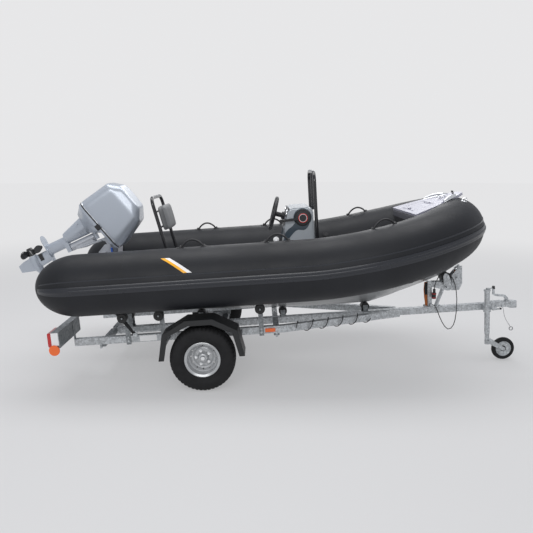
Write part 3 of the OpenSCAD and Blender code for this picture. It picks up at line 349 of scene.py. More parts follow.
class Shape:
    """Collects simple solids, in millimetres in the frame `place`, into one mesh."""

    def __init__(self, place=ROW):
        self.form = bmesh.new()
        self.place = place

    def _vert(self, p):
        return self.form.verts.new(self.place @ (Vector(p) / 1000))

    def grid(self, rows, ring=False, loop=False, caps=False):
        """Joins rows of points with quads; ring closes each row, loop closes the last row to the first."""
        verts = [[self._vert(p) for p in row] for row in rows]
        count = len(verts[0])
        for i in range(len(verts) if loop else len(verts) - 1):
            a, b = verts[i], verts[(i + 1) % len(verts)]
            for k in range(count if ring else count - 1):
                j = (k + 1) % count
                self.form.faces.new((a[k], a[j], b[j], b[k]))
        if caps:
            self.form.faces.new(verts[0])
            self.form.faces.new(verts[-1])
        return self

    def block(self, a, b):
        corners = ((a[0], a[1]), (b[0], a[1]), (b[0], b[1]), (a[0], b[1]))
        return self.grid([[(x, y, z) for x, y in corners] for z in (a[2], b[2])], ring=True, caps=True)

    def rod(self, a, b, r, r2=None, sides=20):
        a, b = Vector(a), Vector(b)
        along = (b - a).normalized()
        side = along.orthogonal().normalized()
        up = along.cross(side)
        rows = []
        for centre, radius in ((a, r), (b, r if r2 is None else r2)):
            angles = [2 * math.pi * k / sides for k in range(sides)]
            rows.append([centre + radius * (math.cos(t) * side + math.sin(t) * up) for t in angles])
        return self.grid(rows, ring=True, caps=True)

    def tube(self, points, r, sides=10, closed=False, flat=1.0, ref=(0, 0, 1)):
        """A round or flattened tube along points."""
        points = [Vector(p) for p in points]
        last = len(points) - 1
        rows = []
        for i, p in enumerate(points):
            before = points[i - 1] if closed or i else p
            after = points[(i + 1) % (last + 1)] if closed or i < last else p
            along = (after - before).normalized()
            side = along.cross(Vector(ref)).normalized()
            up = side.cross(along)
            angles = [2 * math.pi * k / sides for k in range(sides)]
            rows.append([p + r * (math.cos(t) * side + flat * math.sin(t) * up) for t in angles])
        return self.grid(rows, ring=True, loop=closed, caps=not closed)

    def turn(self, profile, centre, axis, steps=48, wave=None):
        """Revolves (radius, height) points about an axis; wave changes a radius by step."""
        axis = Vector(axis).normalized()
        side = axis.orthogonal().normalized()
        up = axis.cross(side)
        rows = []
        for k in range(steps):
            t = 2 * math.pi * k / steps
            out = math.cos(t) * side + math.sin(t) * up
            radii = [r if wave is None else wave(k, r, h) for r, h in profile]
            rows.append([Vector(centre) + r * out + h * axis for r, (_, h) in zip(radii, profile)])
        return self.grid(rows, loop=True)

    def slab(self, at, nu, nv):
        """A closed thin sheet: at(u, v, side) gives its points, u and v from 0 to 1, side 0 or 1."""
        sheets = []
        for side in (0, 1):
            rows = [[at(i / nu, j / nv, side) for j in range(nv + 1)] for i in range(nu + 1)]
            sheets.append([[self._vert(p) for p in row] for row in rows])
        low, top = sheets
        for sheet in sheets:
            for i in range(nu):
                for j in range(nv):
                    self.form.faces.new((sheet[i][j], sheet[i][j + 1], sheet[i + 1][j + 1], sheet[i + 1][j]))
        rim = [(i, 0) for i in range(nu)] + [(nu, j) for j in range(nv)]
        rim += [(i, nv) for i in range(nu, 0, -1)] + [(0, j) for j in range(nv, 0, -1)]
        for (i, j), (m, n) in zip(rim, rim[1:] + rim[:1]):
            self.form.faces.new((low[i][j], low[m][n], top[m][n], top[i][j]))
        return self

    def nut(self, p, axis, across, height):
        """A hexagon nut on its washer."""
        washer = 2.5
        axis = Vector(axis).normalized()
        p = Vector(p)
        self.rod(p, p + axis * washer, across * 0.72, sides=18)
        return self.rod(p + axis * washer, p + axis * height, across * 0.577, sides=6)

    def done(self, name, look, slot, body=HULL, smooth=35, bevel=0.0):
        if bevel:
            sharp = [e for e in self.form.edges if e.calc_face_angle(0) > math.radians(30)]
            bevel_edges(self.form, sharp, bevel)
        mesh = bpy.data.meshes.new(name)
        self.form.to_mesh(mesh)
        self.form.free()
        return add_piece(name, mesh, look, slot, body, smooth)


# ---------- CAD nodes: plain materials, and rounded copies where an edge shows ----------


def slot_of(node):
    return next(s["material_slot"] for s in frame["record"]["subparts"] if s["node"] == node)


def paint(look, *names):
    for name in names:
        mesh = nodes[name].data
        mesh.materials.clear()
        mesh.materials.append(look.material)


def rounded(node, look, bevel, segments=2):
    """A copy of a CAD node with its sharp edges rounded, in millimetres, that stands for it."""
    mesh = nodes[node].data.copy()
    form = bmesh.new()
    form.from_mesh(mesh)
    bmesh.ops.remove_doubles(form, verts=form.verts, dist=2e-5)
    bmesh.ops.dissolve_limit(form, angle_limit=math.radians(1), verts=form.verts, edges=form.edges)
    sharp = [e for e in form.edges if e.is_manifold and e.calc_face_angle(0) > math.radians(28)]
    bevel_edges(form, sharp, bevel, segments)
    form.to_mesh(mesh)
    form.free()
    piece = add_piece(node + "_shell", mesh, look, slot_of(node), nodes[node]["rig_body"])
    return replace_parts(piece, node)


# ---------- free cords ----------

CABLE_ROUTE = [
    (2060, -44, 512), (2078, -52, 506), (2096, -60, 484), (2110, -62, 448), (2130, -62, 400),
    (2154, -62, 352), (2182, -62, 308), (2212, -62, 282), (2242, -62, 290), (2264, -62, 322),
    (2276, -62, 370), (2282, -62, 430), (2284, -62, 500), (2281, -62, 570), (2272, -62, 640),
    (2256, -62, 706), (2232, -62, 764), (2200, -62, 806), (2162, -62, 822), (2124, -62, 806),
    (2096, -62, 770), (2078, -62, 728), (2069, -62, 700), (2067, -62, 682), (2067, -62, 664.4),
]
WIRE_ROUTE = [
    (2722, -42, 486), (2726, -46, 474), (2730, -48, 456), (2735, -49, 430), (2742, -50, 402),
    (2754, -50, 374), (2772, -50, 346), (2790, -50, 320), (2804, -50, 300),
]


def in_row(route):
    return [Vector((x + AXLE_X, y, z)) / 1000 for x, y, z in route]


def free_cord(name, route, diameter, look, slot, node, **facts):
    points = in_row(route)
    tube = Shape().tube([p * 1000 for p in points], diameter / 2, 10, ref=(0, 1, 0))
    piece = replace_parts(tube.done(name, look, slot), node)
    length = sum((b - a).length for a, b in zip(points, points[1:]))
    return (piece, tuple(points[0]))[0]


free_cord(
    "lighting_lead", CABLE_ROUTE, 8, CABLE, "cable_black", "trailer_cable",
    far_end="plug", stiffness="medium", lay="hanging", with_pieces=[nodes["trailer_plug"]],
)
free_cord(
    "breakaway_wire", WIRE_ROUTE, 4, WIRE, "wire_steel", "breakaway_cable",
    far_end="fitting", stiffness="medium", lay="hanging", with_pieces=[nodes["breakaway_clip"]],
)

# ---------- floor and light ----------


def make_stage():
    floor_mesh = bpy.data.meshes.new("floor")
    form = bmesh.new()
    bmesh.ops.create_circle(form, cap_ends=True, radius=60, segments=96)
    form.to_mesh(floor_mesh)
    form.free()
    floor = bpy.data.objects.new("floor", floor_mesh)
    bpy.context.scene.collection.objects.link(floor)
    material = bpy.data.materials.new("floor_paper")
    material.use_nodes = True
    tree = material.node_tree
    shader = tree.nodes["Principled BSDF"]
    shader.inputs["Base Color"].default_value = (0.60, 0.60, 0.605, 1)
    shader.inputs["Roughness"].default_value = 0.9
    shader.inputs["Specular IOR Level"].default_value = 0.15
    # Far away the paper runs into the backdrop's tone
    far = tree.nodes.new("ShaderNodeEmission")
    far.inputs["Color"].default_value = (0.78, 0.78, 0.79, 1)
    place = tree.nodes.new("ShaderNodeTexCoord")
    distance = tree.nodes.new("ShaderNodeVectorMath")
    distance.operation = "LENGTH"
    tree.links.new(place.outputs["Object"], distance.inputs[0])
    fade = tree.nodes.new("ShaderNodeMapRange")
    fade.interpolation_type = "SMOOTHSTEP"
    fade.inputs["From Min"].default_value = 2.6
    fade.inputs["From Max"].default_value = 11
    fade.inputs["To Min"].default_value = 0.42
    tree.links.new(distance.outputs["Value"], fade.inputs["Value"])
    mix = tree.nodes.new("ShaderNodeMixShader")
    tree.links.new(fade.outputs[0], mix.inputs["Fac"])
    tree.links.new(shader.outputs[0], mix.inputs[1])
    tree.links.new(far.outputs[0], mix.inputs[2])
    tree.links.new(mix.outputs[0], tree.nodes["Material Output"].inputs["Surface"])
    floor_mesh.materials.append(material)


def make_world():
    world = bpy.data.worlds.new("studio")
    bpy.context.scene.world = world
    world.use_nodes = True
    tree = world.node_tree
    lit = tree.nodes["Background"]
    lit.inputs["Color"].default_value = (0.93, 0.95, 1.0, 1)
    lit.inputs["Strength"].default_value = 0.55
    seen = tree.nodes.new("ShaderNodeBackground")
    seen.inputs["Color"].default_value = (0.80, 0.80, 0.81, 1)
    rays = tree.nodes.new("ShaderNodeLightPath")
    mix = tree.nodes.new("ShaderNodeMixShader")
    tree.links.new(rays.outputs["Is Camera Ray"], mix.inputs["Fac"])
    tree.links.new(lit.outputs[0], mix.inputs[1])
    tree.links.new(seen.outputs[0], mix.inputs[2])
    tree.links.new(mix.outputs[0], tree.nodes["World Output"].inputs["Surface"])


def area_light(name, place, target, size, power):
    data = bpy.data.lights.new(name, "AREA")
    data.shape = "RECTANGLE"
    data.size, data.size_y = size
    data.energy = power
    lamp = bpy.data.objects.new(name, data)
    lamp.location = place
    lamp.rotation_euler = (Vector(target) - Vector(place)).to_track_quat("-Z", "Y").to_euler()
    bpy.context.scene.collection.objects.link(lamp)


make_stage()
make_world()
area_light("top_light", (0, 0.4, 5.2), (0, 0, 0), (7.0, 2.6), 170)
area_light("front_light", (-1.0, -6.5, 4.0), (0, 0, 0.7), (5.0, 2.2), 150)
area_light("back_light", (1.0, 6.0, 4.2), (0, 0, 0.8), (5.0, 2.2), 90)
bpy.context.scene.view_settings.view_transform = "Standard"

# ---------- the inflatable collar ----------


def tube_rise(x):
    return SHEER_RISE * (max(0, x - SHEER_START) / (BOW_START + BOW_LEN - SHEER_START)) ** SHEER_POWER


def half_path():
    """Starboard half of the tube's centre line, with each ring's scale."""
    points, scale = [], []
    for k in range(21):
        s = (k / 20) ** 2.2
        points.append((STERN_X + CONE_LEN * s, -TUBE_Y))
        scale.append(max(0.02, math.sqrt(1 - (1 - s) ** 2)))
    for x in range(-850, BOW_START, 90):
        points.append((x, -TUBE_Y))
        scale.append(1)
    for k in range(30):
        a = math.radians(3 * k)
        points.append((BOW_START + BOW_LEN * math.sin(a), -TUBE_Y * math.cos(a) ** BOW_POWER))
        scale.append(1)
    return [Vector((x, y, TUBE_Z + tube_rise(x))) for x, y in points], scale


HALF, HALF_SCALE = half_path()
TIP = Vector((BOW_START + BOW_LEN, 0, TUBE_Z + SHEER_RISE))
COLLAR_PATH = HALF + [TIP] + [Vector((p.x, -p.y, p.z)) for p in reversed(HALF)]
COLLAR_SCALE = HALF_SCALE + [1] + HALF_SCALE[::-1]


def ring_frame(i):
    before = COLLAR_PATH[max(0, i - 1)]
    after = COLLAR_PATH[min(len(COLLAR_PATH) - 1, i + 1)]
    along = (after - before).normalized()
    side = along.cross(Vector((0, 0, 1))).normalized()
    return COLLAR_PATH[i], side, side.cross(along)


def sweep_collar(section, start=0):
    """Rings of (out, up) points along the collar; start counts the rings left out at each end."""
    rows = []
    for i in range(start, len(COLLAR_PATH) - start):
        centre, side, up = ring_frame(i)
        rows.append([centre + COLLAR_SCALE[i] * (a * side + b * up) for a, b in section])
    return rows


def make_collar():
    angles = [2 * math.pi * k / 64 for k in range(64)]
    section = [(TUBE_R * math.cos(t), TUBE_R * math.sin(t)) for t in angles]
    skin = Shape(LEVEL).grid(sweep_collar(section), ring=True, caps=True)
    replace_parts(skin.done("collar_skin", TUBE, "tube_fabric", smooth=60), "collar")


def make_strake():
    """The rubbing strake, and the narrow rubber rib above it."""
    half = STRAKE_H / 2
    upper = [(STRAKE_T, 0), (STRAKE_T - 1, 9), (7, 14), (7, half - 10), (3, half), (-6, half)]
    lower = [(out, -up) for out, up in upper[:0:-1]]
    profile = [(TUBE_R + out, up) for out, up in lower + upper]
    strake = Shape(LEVEL).grid(sweep_collar(profile, 9), ring=True, caps=True)
    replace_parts(strake.done("rub_strake_rubber", STRAKE, "strake_rubber", smooth=50), "rub_strake")
    rib_angle = math.radians(17.5)
    out, up = math.cos(rib_angle) * TUBE_R, math.sin(rib_angle) * TUBE_R
    profile = [(out - 4, up - 6), (out + 3, up - 6), (out + 2, up + 5), (out - 5, up + 5)]
    rib = Shape(LEVEL).grid(sweep_collar(profile, 10), ring=True, caps=True)
    rib.done("collar_rib", STRAKE, "strake_rubber", smooth=50)


def on_tube(x, phi, out=0, side=-1):
    """A point on the tube's skin: x along the boat, phi up from the outer side in degrees."""
    a = math.asin(max(0, min(1, (x - BOW_START) / BOW_LEN)))
    centre = Vector((x, -TUBE_Y * math.cos(a) ** BOW_POWER, TUBE_Z + tube_rise(x)))
    across = BOW_POWER * TUBE_Y * math.sin(a) * math.cos(a) ** (BOW_POWER - 1)
    along = Vector((BOW_LEN * math.cos(a), across, 0)).normalized()
    outward = along.cross(Vector((0, 0, 1))).normalized()
    t = math.radians(phi)
    p = centre + (TUBE_R + out) * (math.cos(t) * outward + math.sin(t) * Vector((0, 0, 1)))
    return (p.x, -side * p.y, p.z)


def stripe(name, look, low_x, high_x, side):
    """A slanted stripe: low_x and high_x are its spans along the boat at its lower and upper edge."""

    def at(u, v, face):
        left = low_x[0] + (high_x[0] - low_x[0]) * u
        right = low_x[1] + (high_x[1] - low_x[1]) * u
        return on_tube(left + (right - left) * v, 20.5 + 31.5 * u, 1.2 if face else -1.0, side)

    Shape(LEVEL).slab(at, 14, 2).done(name, look, "tube_fabric", smooth=60)


def seam_band(name, x, side):
    """A glued fabric band round the tube, over a panel's seam."""

    def at(u, v, face):
        return on_tube(x + 34 * v, -78 + 250 * u, 0.9 if face else -1.0, side)

    Shape(LEVEL).slab(at, 40, 1).done(name, TUBE, "tube_fabric", smooth=60)


def handle(name, x0, x1, phi, side):
    """A grab handle: a rubber loop between two glued patches."""
    form = Shape(LEVEL)
    angles = [2 * math.pi * k / 20 for k in range(20)]
    for end, lean in ((x0, -1), (x1, 1)):
        x = end + lean * 14
        patch = []
        for r, out in ((1, -1.0), (1, 2.6), (0.55, 2.6), (0.02, 2.6)):
            ring = [(x + 34 * r * math.cos(t), phi + 7.5 * r * math.sin(t)) for t in angles]
            patch.append([on_tube(*p, out, side) for p in ring])
        form.grid(patch, ring=True)
        form.rod(on_tube(x, phi, 0, side), on_tube(end + lean * 4, phi, 12, side), 15, 11)
    loop = []
    for k in range(17):
        t = k / 16
        loop.append(on_tube(x0 + (x1 - x0) * t, phi, 6 + 52 * math.sin(math.pi * t) ** 0.75, side))
    form.tube(loop, 8, 10, ref=(0, 1, 0)).done(name, BLACK_PLASTIC, "black_plastic")


def valve(name, x, phi, side, look):
    form = Shape(LEVEL)
    form.rod(on_tube(x, phi, -2, side), on_tube(x, phi, 5, side), 30, 27, 28)
    form.rod(on_tube(x, phi, 5, side), on_tube(x, phi, 14, side), 21, 19, 24)
    form.done(name, look, "black_plastic")


make_collar()
make_strake()
for side, label in SIDES:
    stripe(label + "_stripe_yellow", YELLOW_PAINT, (-60, -31), (-236, -203), side)
    stripe(label + "_stripe_white", WHITE_PAINT, (-31, 5), (-203, -169), side)
    seam_band(label + "_seam_aft", -560, side)
    seam_band(label + "_seam_mid", 420, side)
    seam_band(label + "_seam_bow", 1330, side)
    for k, x in enumerate((-88, 590, 1452)):
        handle(f"{label}_handle_{k}", x, x + 165, 93, side)
    valve(label + "_valve_aft", 690, 152, side, WHITE)
    valve(label + "_valve_bow", 1185, 152, side, BLACK_PLASTIC)

# ---------- hull, deck and floor ----------

paint(HULL_GREY, "hull")
paint(DECK, "cockpit_floor")
rounded("transom", DECK, 4)
# The bow locker's face is near-black painted shade, for the look of an open locker
rounded("bow_locker", LOCKER_OPENING_SHADE, 2)
rounded("bow_deck", BOW_GREY, 5)
rounded("bow_lid", BOW_GREY, 4)
paint(CHROME, "bow_eye")


def make_bow_fittings():
    """Cleat, fairleads and light studs on the deck, a band of painted shade under its aft edge, and rings on
    the collar.
    """
    form = Shape(BOW_DECK)
    for x in (352, 392):
        form.rod((x, 0, 0), (x, 0, 20), 7)
    form.tube([(320, 0, 18), (340, 0, 25), (372, 0, 27), (404, 0, 25), (424, 0, 18)], 7, 10, ref=(0, 1, 0))
    form.block((338, -18, 0), (406, 18, 4)).done("bow_cleat", CHROME, "deck_gelcoat", bevel=1)
    studs = Shape(BOW_DECK)
    for y in (-16, 16):
        studs.rod((470, y, -2), (470, y, 24), 4)
        studs.rod((470, y, 24), (470, y, 32), 7, 5)
    studs.done("bow_studs", BLACK_PLASTIC, "deck_gelcoat")
    # A thin dark band of painted shade under the deck's aft edge, against the locker
    edge_shade = Shape(LEVEL).block((DECK_EDGE[0] - 8, -372, 1192), (DECK_EDGE[0] - 0.4, 372, 1239))
    edge_shade.done("bow_deck_edge_shade", SHADE_UNDER_DECK, "deck_gelcoat", bevel=3)
    for side, label in SIDES:
        bar = [(296, side * 270, 8), (345, side * 236, 17), (395, side * 196, 17), (436, side * 160, 8)]
        foot = [(284, side * 278, 1), (365, side * 219, 2), (448, side * 152, 1)]
        fairlead = Shape(BOW_DECK).tube(bar, 11, 12).tube(foot, 20, 10, flat=0.35)
        fairlead.done(label + "_fairlead", CHROME, "deck_gelcoat")
    for side, label in SIDES:
        ring = Shape(LEVEL)
        base = Vector(on_tube(2225, 70, 0, side))
        out = (base - Vector(on_tube(2225, 70, -40, side))).normalized()
        ring.rod(base - out * 2, base + out * 4, 26, 24, 24)
        angles = [math.pi * k / 12 for k in range(13)]
        hoop = [base + out * (4 + 26 * math.sin(t)) + Vector((22 * math.cos(t), 0, 0)) for t in angles]
        ring.tube(hoop, 3.5, 8, ref=(0, 1, 0.3)).done(label + "_bow_ring", CHROME, "deck_gelcoat")


make_bow_fittings()

# ---------- console, helm and seat ----------

rounded("console", CONSOLE_GREY, 16, 3)
rounded("console_hoop", BLACK_TUBE, 1)
rounded("steering_column", BLACK_PLASTIC, 2)
rounded("steering_wheel", BLACK_PLASTIC, 2)
rounded("remote_control", BLACK_PLASTIC, 3)


def outline_panel(name, points, y0, y1, look, slot, bevel=0.6):
    """An X-Z outline with a thickness from y0 to y1."""
    form = Shape(LEVEL).grid([[(x, y, z) for x, z in points] for y in (y0, y1)], ring=True, caps=True)
    return form.done(name, look, slot, bevel=bevel)


def s_band():
    """The dark band that runs from the foot of the console round under the control."""
    cx, cz = CONTROL
    upper = [(728, 1060), (742, 1112), (757, 1162), (786, 1193), (822, 1216)]
    angles = [math.radians(a) for a in range(212, -30, -15)]
    round_control = [(cx + 80 * math.cos(t), cz + 80 * math.sin(t)) for t in angles]
    lower = [
        (972, 1236), (962, 1212), (951, 1195), (934, 1182), (917, 1176),
        (871, 1183), (846, 1172), (829, 1157), (794, 1119), (772, 1060),
    ]
    return upper + round_control + lower


for side, label in SIDES:
    y = side * CONSOLE_W / 2
    outline_panel(
        label + "_console_band", s_band(), y + side * 0.1, y + side * 1.6, CONSOLE_BAND, "console_gelcoat"
    )


def make_control():
    """Bezel, red ring, silver ring and hub on the throttle control."""
    cx, cz = CONTROL
    y = -CONSOLE_W / 2

    def disc(name, look, inner, outer, r, r2, sides, bevel=0.0):
        form = Shape(LEVEL).rod((cx, y - inner, cz), (cx, y - outer, cz), r, r2, sides)
        form.done(name, look, "black_plastic", bevel=bevel)

    disc("control_bezel", BLACK_PLASTIC, 0, 12, 74, 69, 48, bevel=2)
    ring = [(34, 51), (40, 51), (40, 54), (34, 54), (34, 51)]
    form = Shape(LEVEL).turn(ring, (cx, y, cz), (0, -1, 0), 40)
    form.done("control_red_ring", RED_RING, "black_plastic")
    disc("control_silver_ring", BRIGHT, 34, 51.5, 44, 40, 40)
    disc("control_hub", BLACK_PLASTIC, 50, 56, 32, 27, 32, bevel=1)


def make_dash():
    """Black panel on the dash with two gauges and a row of switches."""
    cosine, sine = math.cos(HELM_RAKE), math.sin(HELM_RAKE)
    column = Vector((HELM_CENTRE[0] + COLUMN_LEN * cosine, 0, HELM_CENTRE[1] - COLUMN_LEN * sine))
    normal = Vector((-cosine, 0, sine))
    up = Vector((sine, 0, cosine))
    corners = [column + up * a + normal * b for a, b in ((-78, 0.3), (-78, 5), (84, 5), (84, 0.3))]
    outline = [(q.x, q.z) for q in corners]
    outline_panel("dash_panel", outline, -205, 205, BLACK_PLASTIC, "black_plastic", bevel=1.5)
    for k, y in enumerate((-150, 150)):
        centre = column + normal * 3 + up * 30 + Vector((0, y, 0))
        bezel = Shape(LEVEL).rod(centre - normal * 4, centre + normal * 7, 46, 43, 36)
        bezel.done(f"gauge_bezel_{k}", BRIGHT, "black_plastic", bevel=1)
        face = Shape(LEVEL).rod(centre, centre + normal * 7.6, 38, 38, 36)
        face.done(f"gauge_face_{k}", GAUGE, "black_plastic")
    form = Shape(LEVEL)
    for k in range(4):
        centre = column + normal * 3 - up * 55 + Vector((0, 105 + 28 * k, 0))
        form.rod(centre - normal * 2, centre + normal * 10, 8, 6, 16)
    form.done("dash_switches", BLACK_PLASTIC, "black_plastic")


make_control()
make_dash()
rounded("seat_base", DECK, 10, 3)
rounded("seat_lid", DECK, 5)
rounded("backrest_hoop", BLACK_TUBE, 1)


def cushion(name, node, place, a, b, crown, body, thick_axis, channels):
    """A padded form in the box a to b: rounded sides, a crowned face and sewn channels across it."""
    mid = (Vector(a) + Vector(b)) / 2
    half = (Vector(b) - Vector(a)) / 2
    channel_depth, channel_width = 5, 0.035
    form = bmesh.new()
    bmesh.ops.create_cube(form, size=2)
    bmesh.ops.subdivide_edges(form, edges=form.edges, cuts=22, use_grid_fill=True)
    first, second = [k for k in range(3) if k != thick_axis]
    for vert in form.verts:
        u, v, w = vert.co[first], vert.co[second], vert.co[thick_axis]
        reach = max(abs(u), abs(v))
        # The sides pull in between the faces, and the corners are rounded
        squeeze = 1 - 0.035 * (1 - w * w) * reach ** 4
        corner = max(1, (abs(u) ** 8 + abs(v) ** 8) ** (1 / 8))
        p = Vector((0, 0, 0))
        p[first] = half[first] * u / corner * squeeze
        p[second] = half[second] * v / corner * squeeze
        dome = (1 - u * u) * (1 - v * v)
        rolled = reach ** 10 if w else 0
        face = half[thick_axis] - crown + crown * dome ** 0.6 - 0.28 * half[thick_axis] * rolled
        sewn = sum(math.exp(-((u - c) / channel_width) ** 2) for c in channels)
        sink = sewn * channel_depth * (1 - v ** 8) if w > 0 else 0
        p[thick_axis] = w * (face - sink)
        vert.co = place @ ((mid + p) / 1000)
    mesh = bpy.data.meshes.new(name)
    form.to_mesh(mesh)
    form.free()
    piece = add_piece(name, mesh, CUSHION, "cushion_vinyl", body, smooth=70)
    soften = piece.modifiers.new("soften", "SMOOTH")
    soften.factor = 0.6
    soften.iterations = 3
    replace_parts(piece, node)


def rounded_loop(u0, u1, v0, v1, r, at):
    """Points of a rounded rectangle, given to at(u, v)."""
    points = []
    corners = ((u1 - r, v1 - r, 0), (u0 + r, v1 - r, 90), (u0 + r, v0 + r, 180), (u1 - r, v0 + r, 270))
    for cu, cv, start in corners:
        for k in range(7):
            t = math.radians(start + 15 * k)
            points.append(at(cu + r * math.cos(t), cv + r * math.sin(t)))
    return points


seat_z = SEAT_TOP + SEAT_LID
cushion(
    "seat_pad", "seat_cushion", LEVEL, (-268, -217, seat_z), (72, 217, seat_z + CUSHION_T),
    crown=9, body="seat_hatch", thick_axis=2, channels=(-0.33, 0.33),
)
back_top = (BACKREST_TOP - BACKREST_FOOT[1]) / math.cos(math.radians(BACKREST_LEAN)) - PAD_DROP
cushion(
    "back_pad", "backrest_pad", BACKREST, (8.3, -210, back_top - 215), (86.3, 210, back_top),
    crown=10, body=HULL, thick_axis=0, channels=(-0.4, 0.4),
)

# ---------- outboard engine ----------


def make_cowl():
    """The cowl's outer skin, remeshed and smoothed from the hull of the CAD shell."""
    mesh = nodes["cowl"].data.copy()
    form = bmesh.new()
    form.from_mesh(mesh)
    bmesh.ops.remove_doubles(form, verts=form.verts, dist=2e-5)
    bmesh.ops.convex_hull(form, input=form.verts)
    loose = [v for v in form.verts if not v.link_faces]
    bmesh.ops.delete(form, geom=loose, context="VERTS")
    form.to_mesh(mesh)
    form.free()
    hull_only = bpy.data.objects.new("cowl_form", mesh)
    bpy.context.scene.collection.objects.link(hull_only)
    remesh = hull_only.modifiers.new("voxels", "REMESH")
    remesh.mode = "VOXEL"
    remesh.voxel_size = 0.007
    relax = hull_only.modifiers.new("relax", "SMOOTH")
    relax.factor = 0.7
    relax.iterations = 22
    bpy.context.view_layer.update()
    graph = bpy.context.evaluated_depsgraph_get()
    smooth_mesh = bpy.data.meshes.new_from_object(hull_only.evaluated_get(graph))
    bpy.data.objects.remove(hull_only)
    skin = add_piece("cowl_skin", smooth_mesh, SILVER, "engine_silver", "engine", smooth=60)
    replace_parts(skin, "cowl")


make_cowl()
rounded("engine_pan", SILVER, 6)
rounded("midsection", SILVER, 4)
rounded("gearcase", SILVER, 3)
paint(BLOCK_IRON, "powerhead")
rounded("clamp_bracket", ALLOY, 3)
rounded("swivel_bracket", ALLOY, 3)
rounded("propeller", SCREW_BLACK, 1)


def make_engine_details():
    """Trim round the cowl's seam, latches, bolts, water intakes, trim tab and tilt struts."""
    half_w = 171
    rubber = rounded_loop(4, 509, -half_w, half_w, 72, lambda u, v: (u, v, -2.5))
    bright = rounded_loop(3, 510, -half_w, half_w, 72, lambda u, v: (u, v, 7))
    for name, loop, r, look in (("seam_rubber", rubber, 5, BLACK_PLASTIC), ("seam_trim", bright, 4, BRIGHT)):
        trim = Shape(SEAM).tube(loop, r, 8, closed=True, ref=(0.1, 0.1, 1))
        trim.done(name, look, "engine_silver", "engine")
    latch = Shape(SEAM)
    latch.block((240, -182, -34), (290, -170, 10)).block((-8, -30, -30), (6, 30, 12))
    latch.done("cowl_latches", BLACK_PLASTIC, "engine_silver", "engine", bevel=2)
    bolts = Shape(ENGINE)
    for x, z in ((-300, -180), (-212, -200), (-230, -330), (-200, -500)):
        for s in (-1, 1):
            half = 58 + (z + 128) * (58 - 38) / 222 if z > -350 else 32
            bolts.rod((x, s * (half * 0.72), z), (x, s * (half + 3), z), 6, sides=12)
    bolts.done("engine_bolts", ALLOY, "engine_alloy", "engine")
    intake = Shape(ENGINE)
    for s in (-1, 1):
        intake.block((-205, s * 19.5, -640), (-140, s * 24, -605))
    intake.done("water_intake", BLACK_PLASTIC, "engine_silver", "engine", bevel=1)
    anode = Shape(ENGINE).rod((-300, 0, -541), (-300, 0, -560), 16, 12)
    anode.done("trim_tab", ALLOY, "engine_alloy", "engine")
    strut = Shape(ENGINE)
    for y in (-54, 54):
        strut.rod((-100, y, -244), (-79, y, -46), 10)
    strut.rod((-100, -54, -240), (-100, 54, -240), 8).rod((-79, -54, -50), (-79, 54, -50), 8)
    strut.done("tilt_struts", ALLOY, "engine_alloy", "engine_swivel")


def make_clamp_details():
    """Clamp screws with their handles inside the transom, and the tilt lever."""
    form = Shape(LEVEL)
    for s in (-1, 1):
        y, z = s * 102, 1020
        form.rod((-838, y, z), (-790, y, z), 11).rod((-842, y, z), (-836, y, z), 22)
        form.rod((-796, y - 46, z), (-796, y + 46, z), 5)
    form.done("clamp_screws", ALLOY, "engine_alloy")
    lever = Shape(LEVEL).block((-800, -130, 1062), (-786, -112, 1118))
    lever.done("tilt_lever", BLUE, "engine_alloy", bevel=2)


make_engine_details()
make_clamp_details()

# ---------- trailer ----------

for name in ("left_rail", "right_rail", "drawbar"):
    rounded(name, ZINC, 4)
# The lower frame parts take the darker zinc: weathered, and darkened as painted shade under the boat
for name in ("crossmembers", "axle", "fender_stays", "roller_brackets"):
    rounded(name, ZINC_WEATHERED_SHADED, 2)
for name in ("winch_post", "winch", "coupling", "coupling_handle"):
    rounded(name, ZINC, 1.5)
for name in ("jockey_clamp", "jockey_tube", "jockey_fork"):
    rounded(name, ZINC, 1.5)
# The lamp boards take the darker zinc too, partly weathering and partly painted shade
rounded("lamp_boards", ZINC_WEATHERED_SHADED, 0.8)
rounded("keel_rollers", ROLLER, 5)
rounded("side_rollers", ROLLER, 8, 3)
rounded("bow_roller", ROLLER, 3)
rounded("left_fender", FENDER_PLASTIC, 1.5)
rounded("right_fender", FENDER_PLASTIC, 1.5)
rounded("rear_lamps", RED_LENS, 5)
rounded("side_markers", ORANGE_LENS, 2.5)
rounded("jockey_wheel", TYRE, 3)
paint(ORANGE_WEB, "winch_strap")
paint(CABLE, "rail_cable")
paint(BLACK_PLASTIC, "trailer_plug")
paint(WIRE, "breakaway_clip")


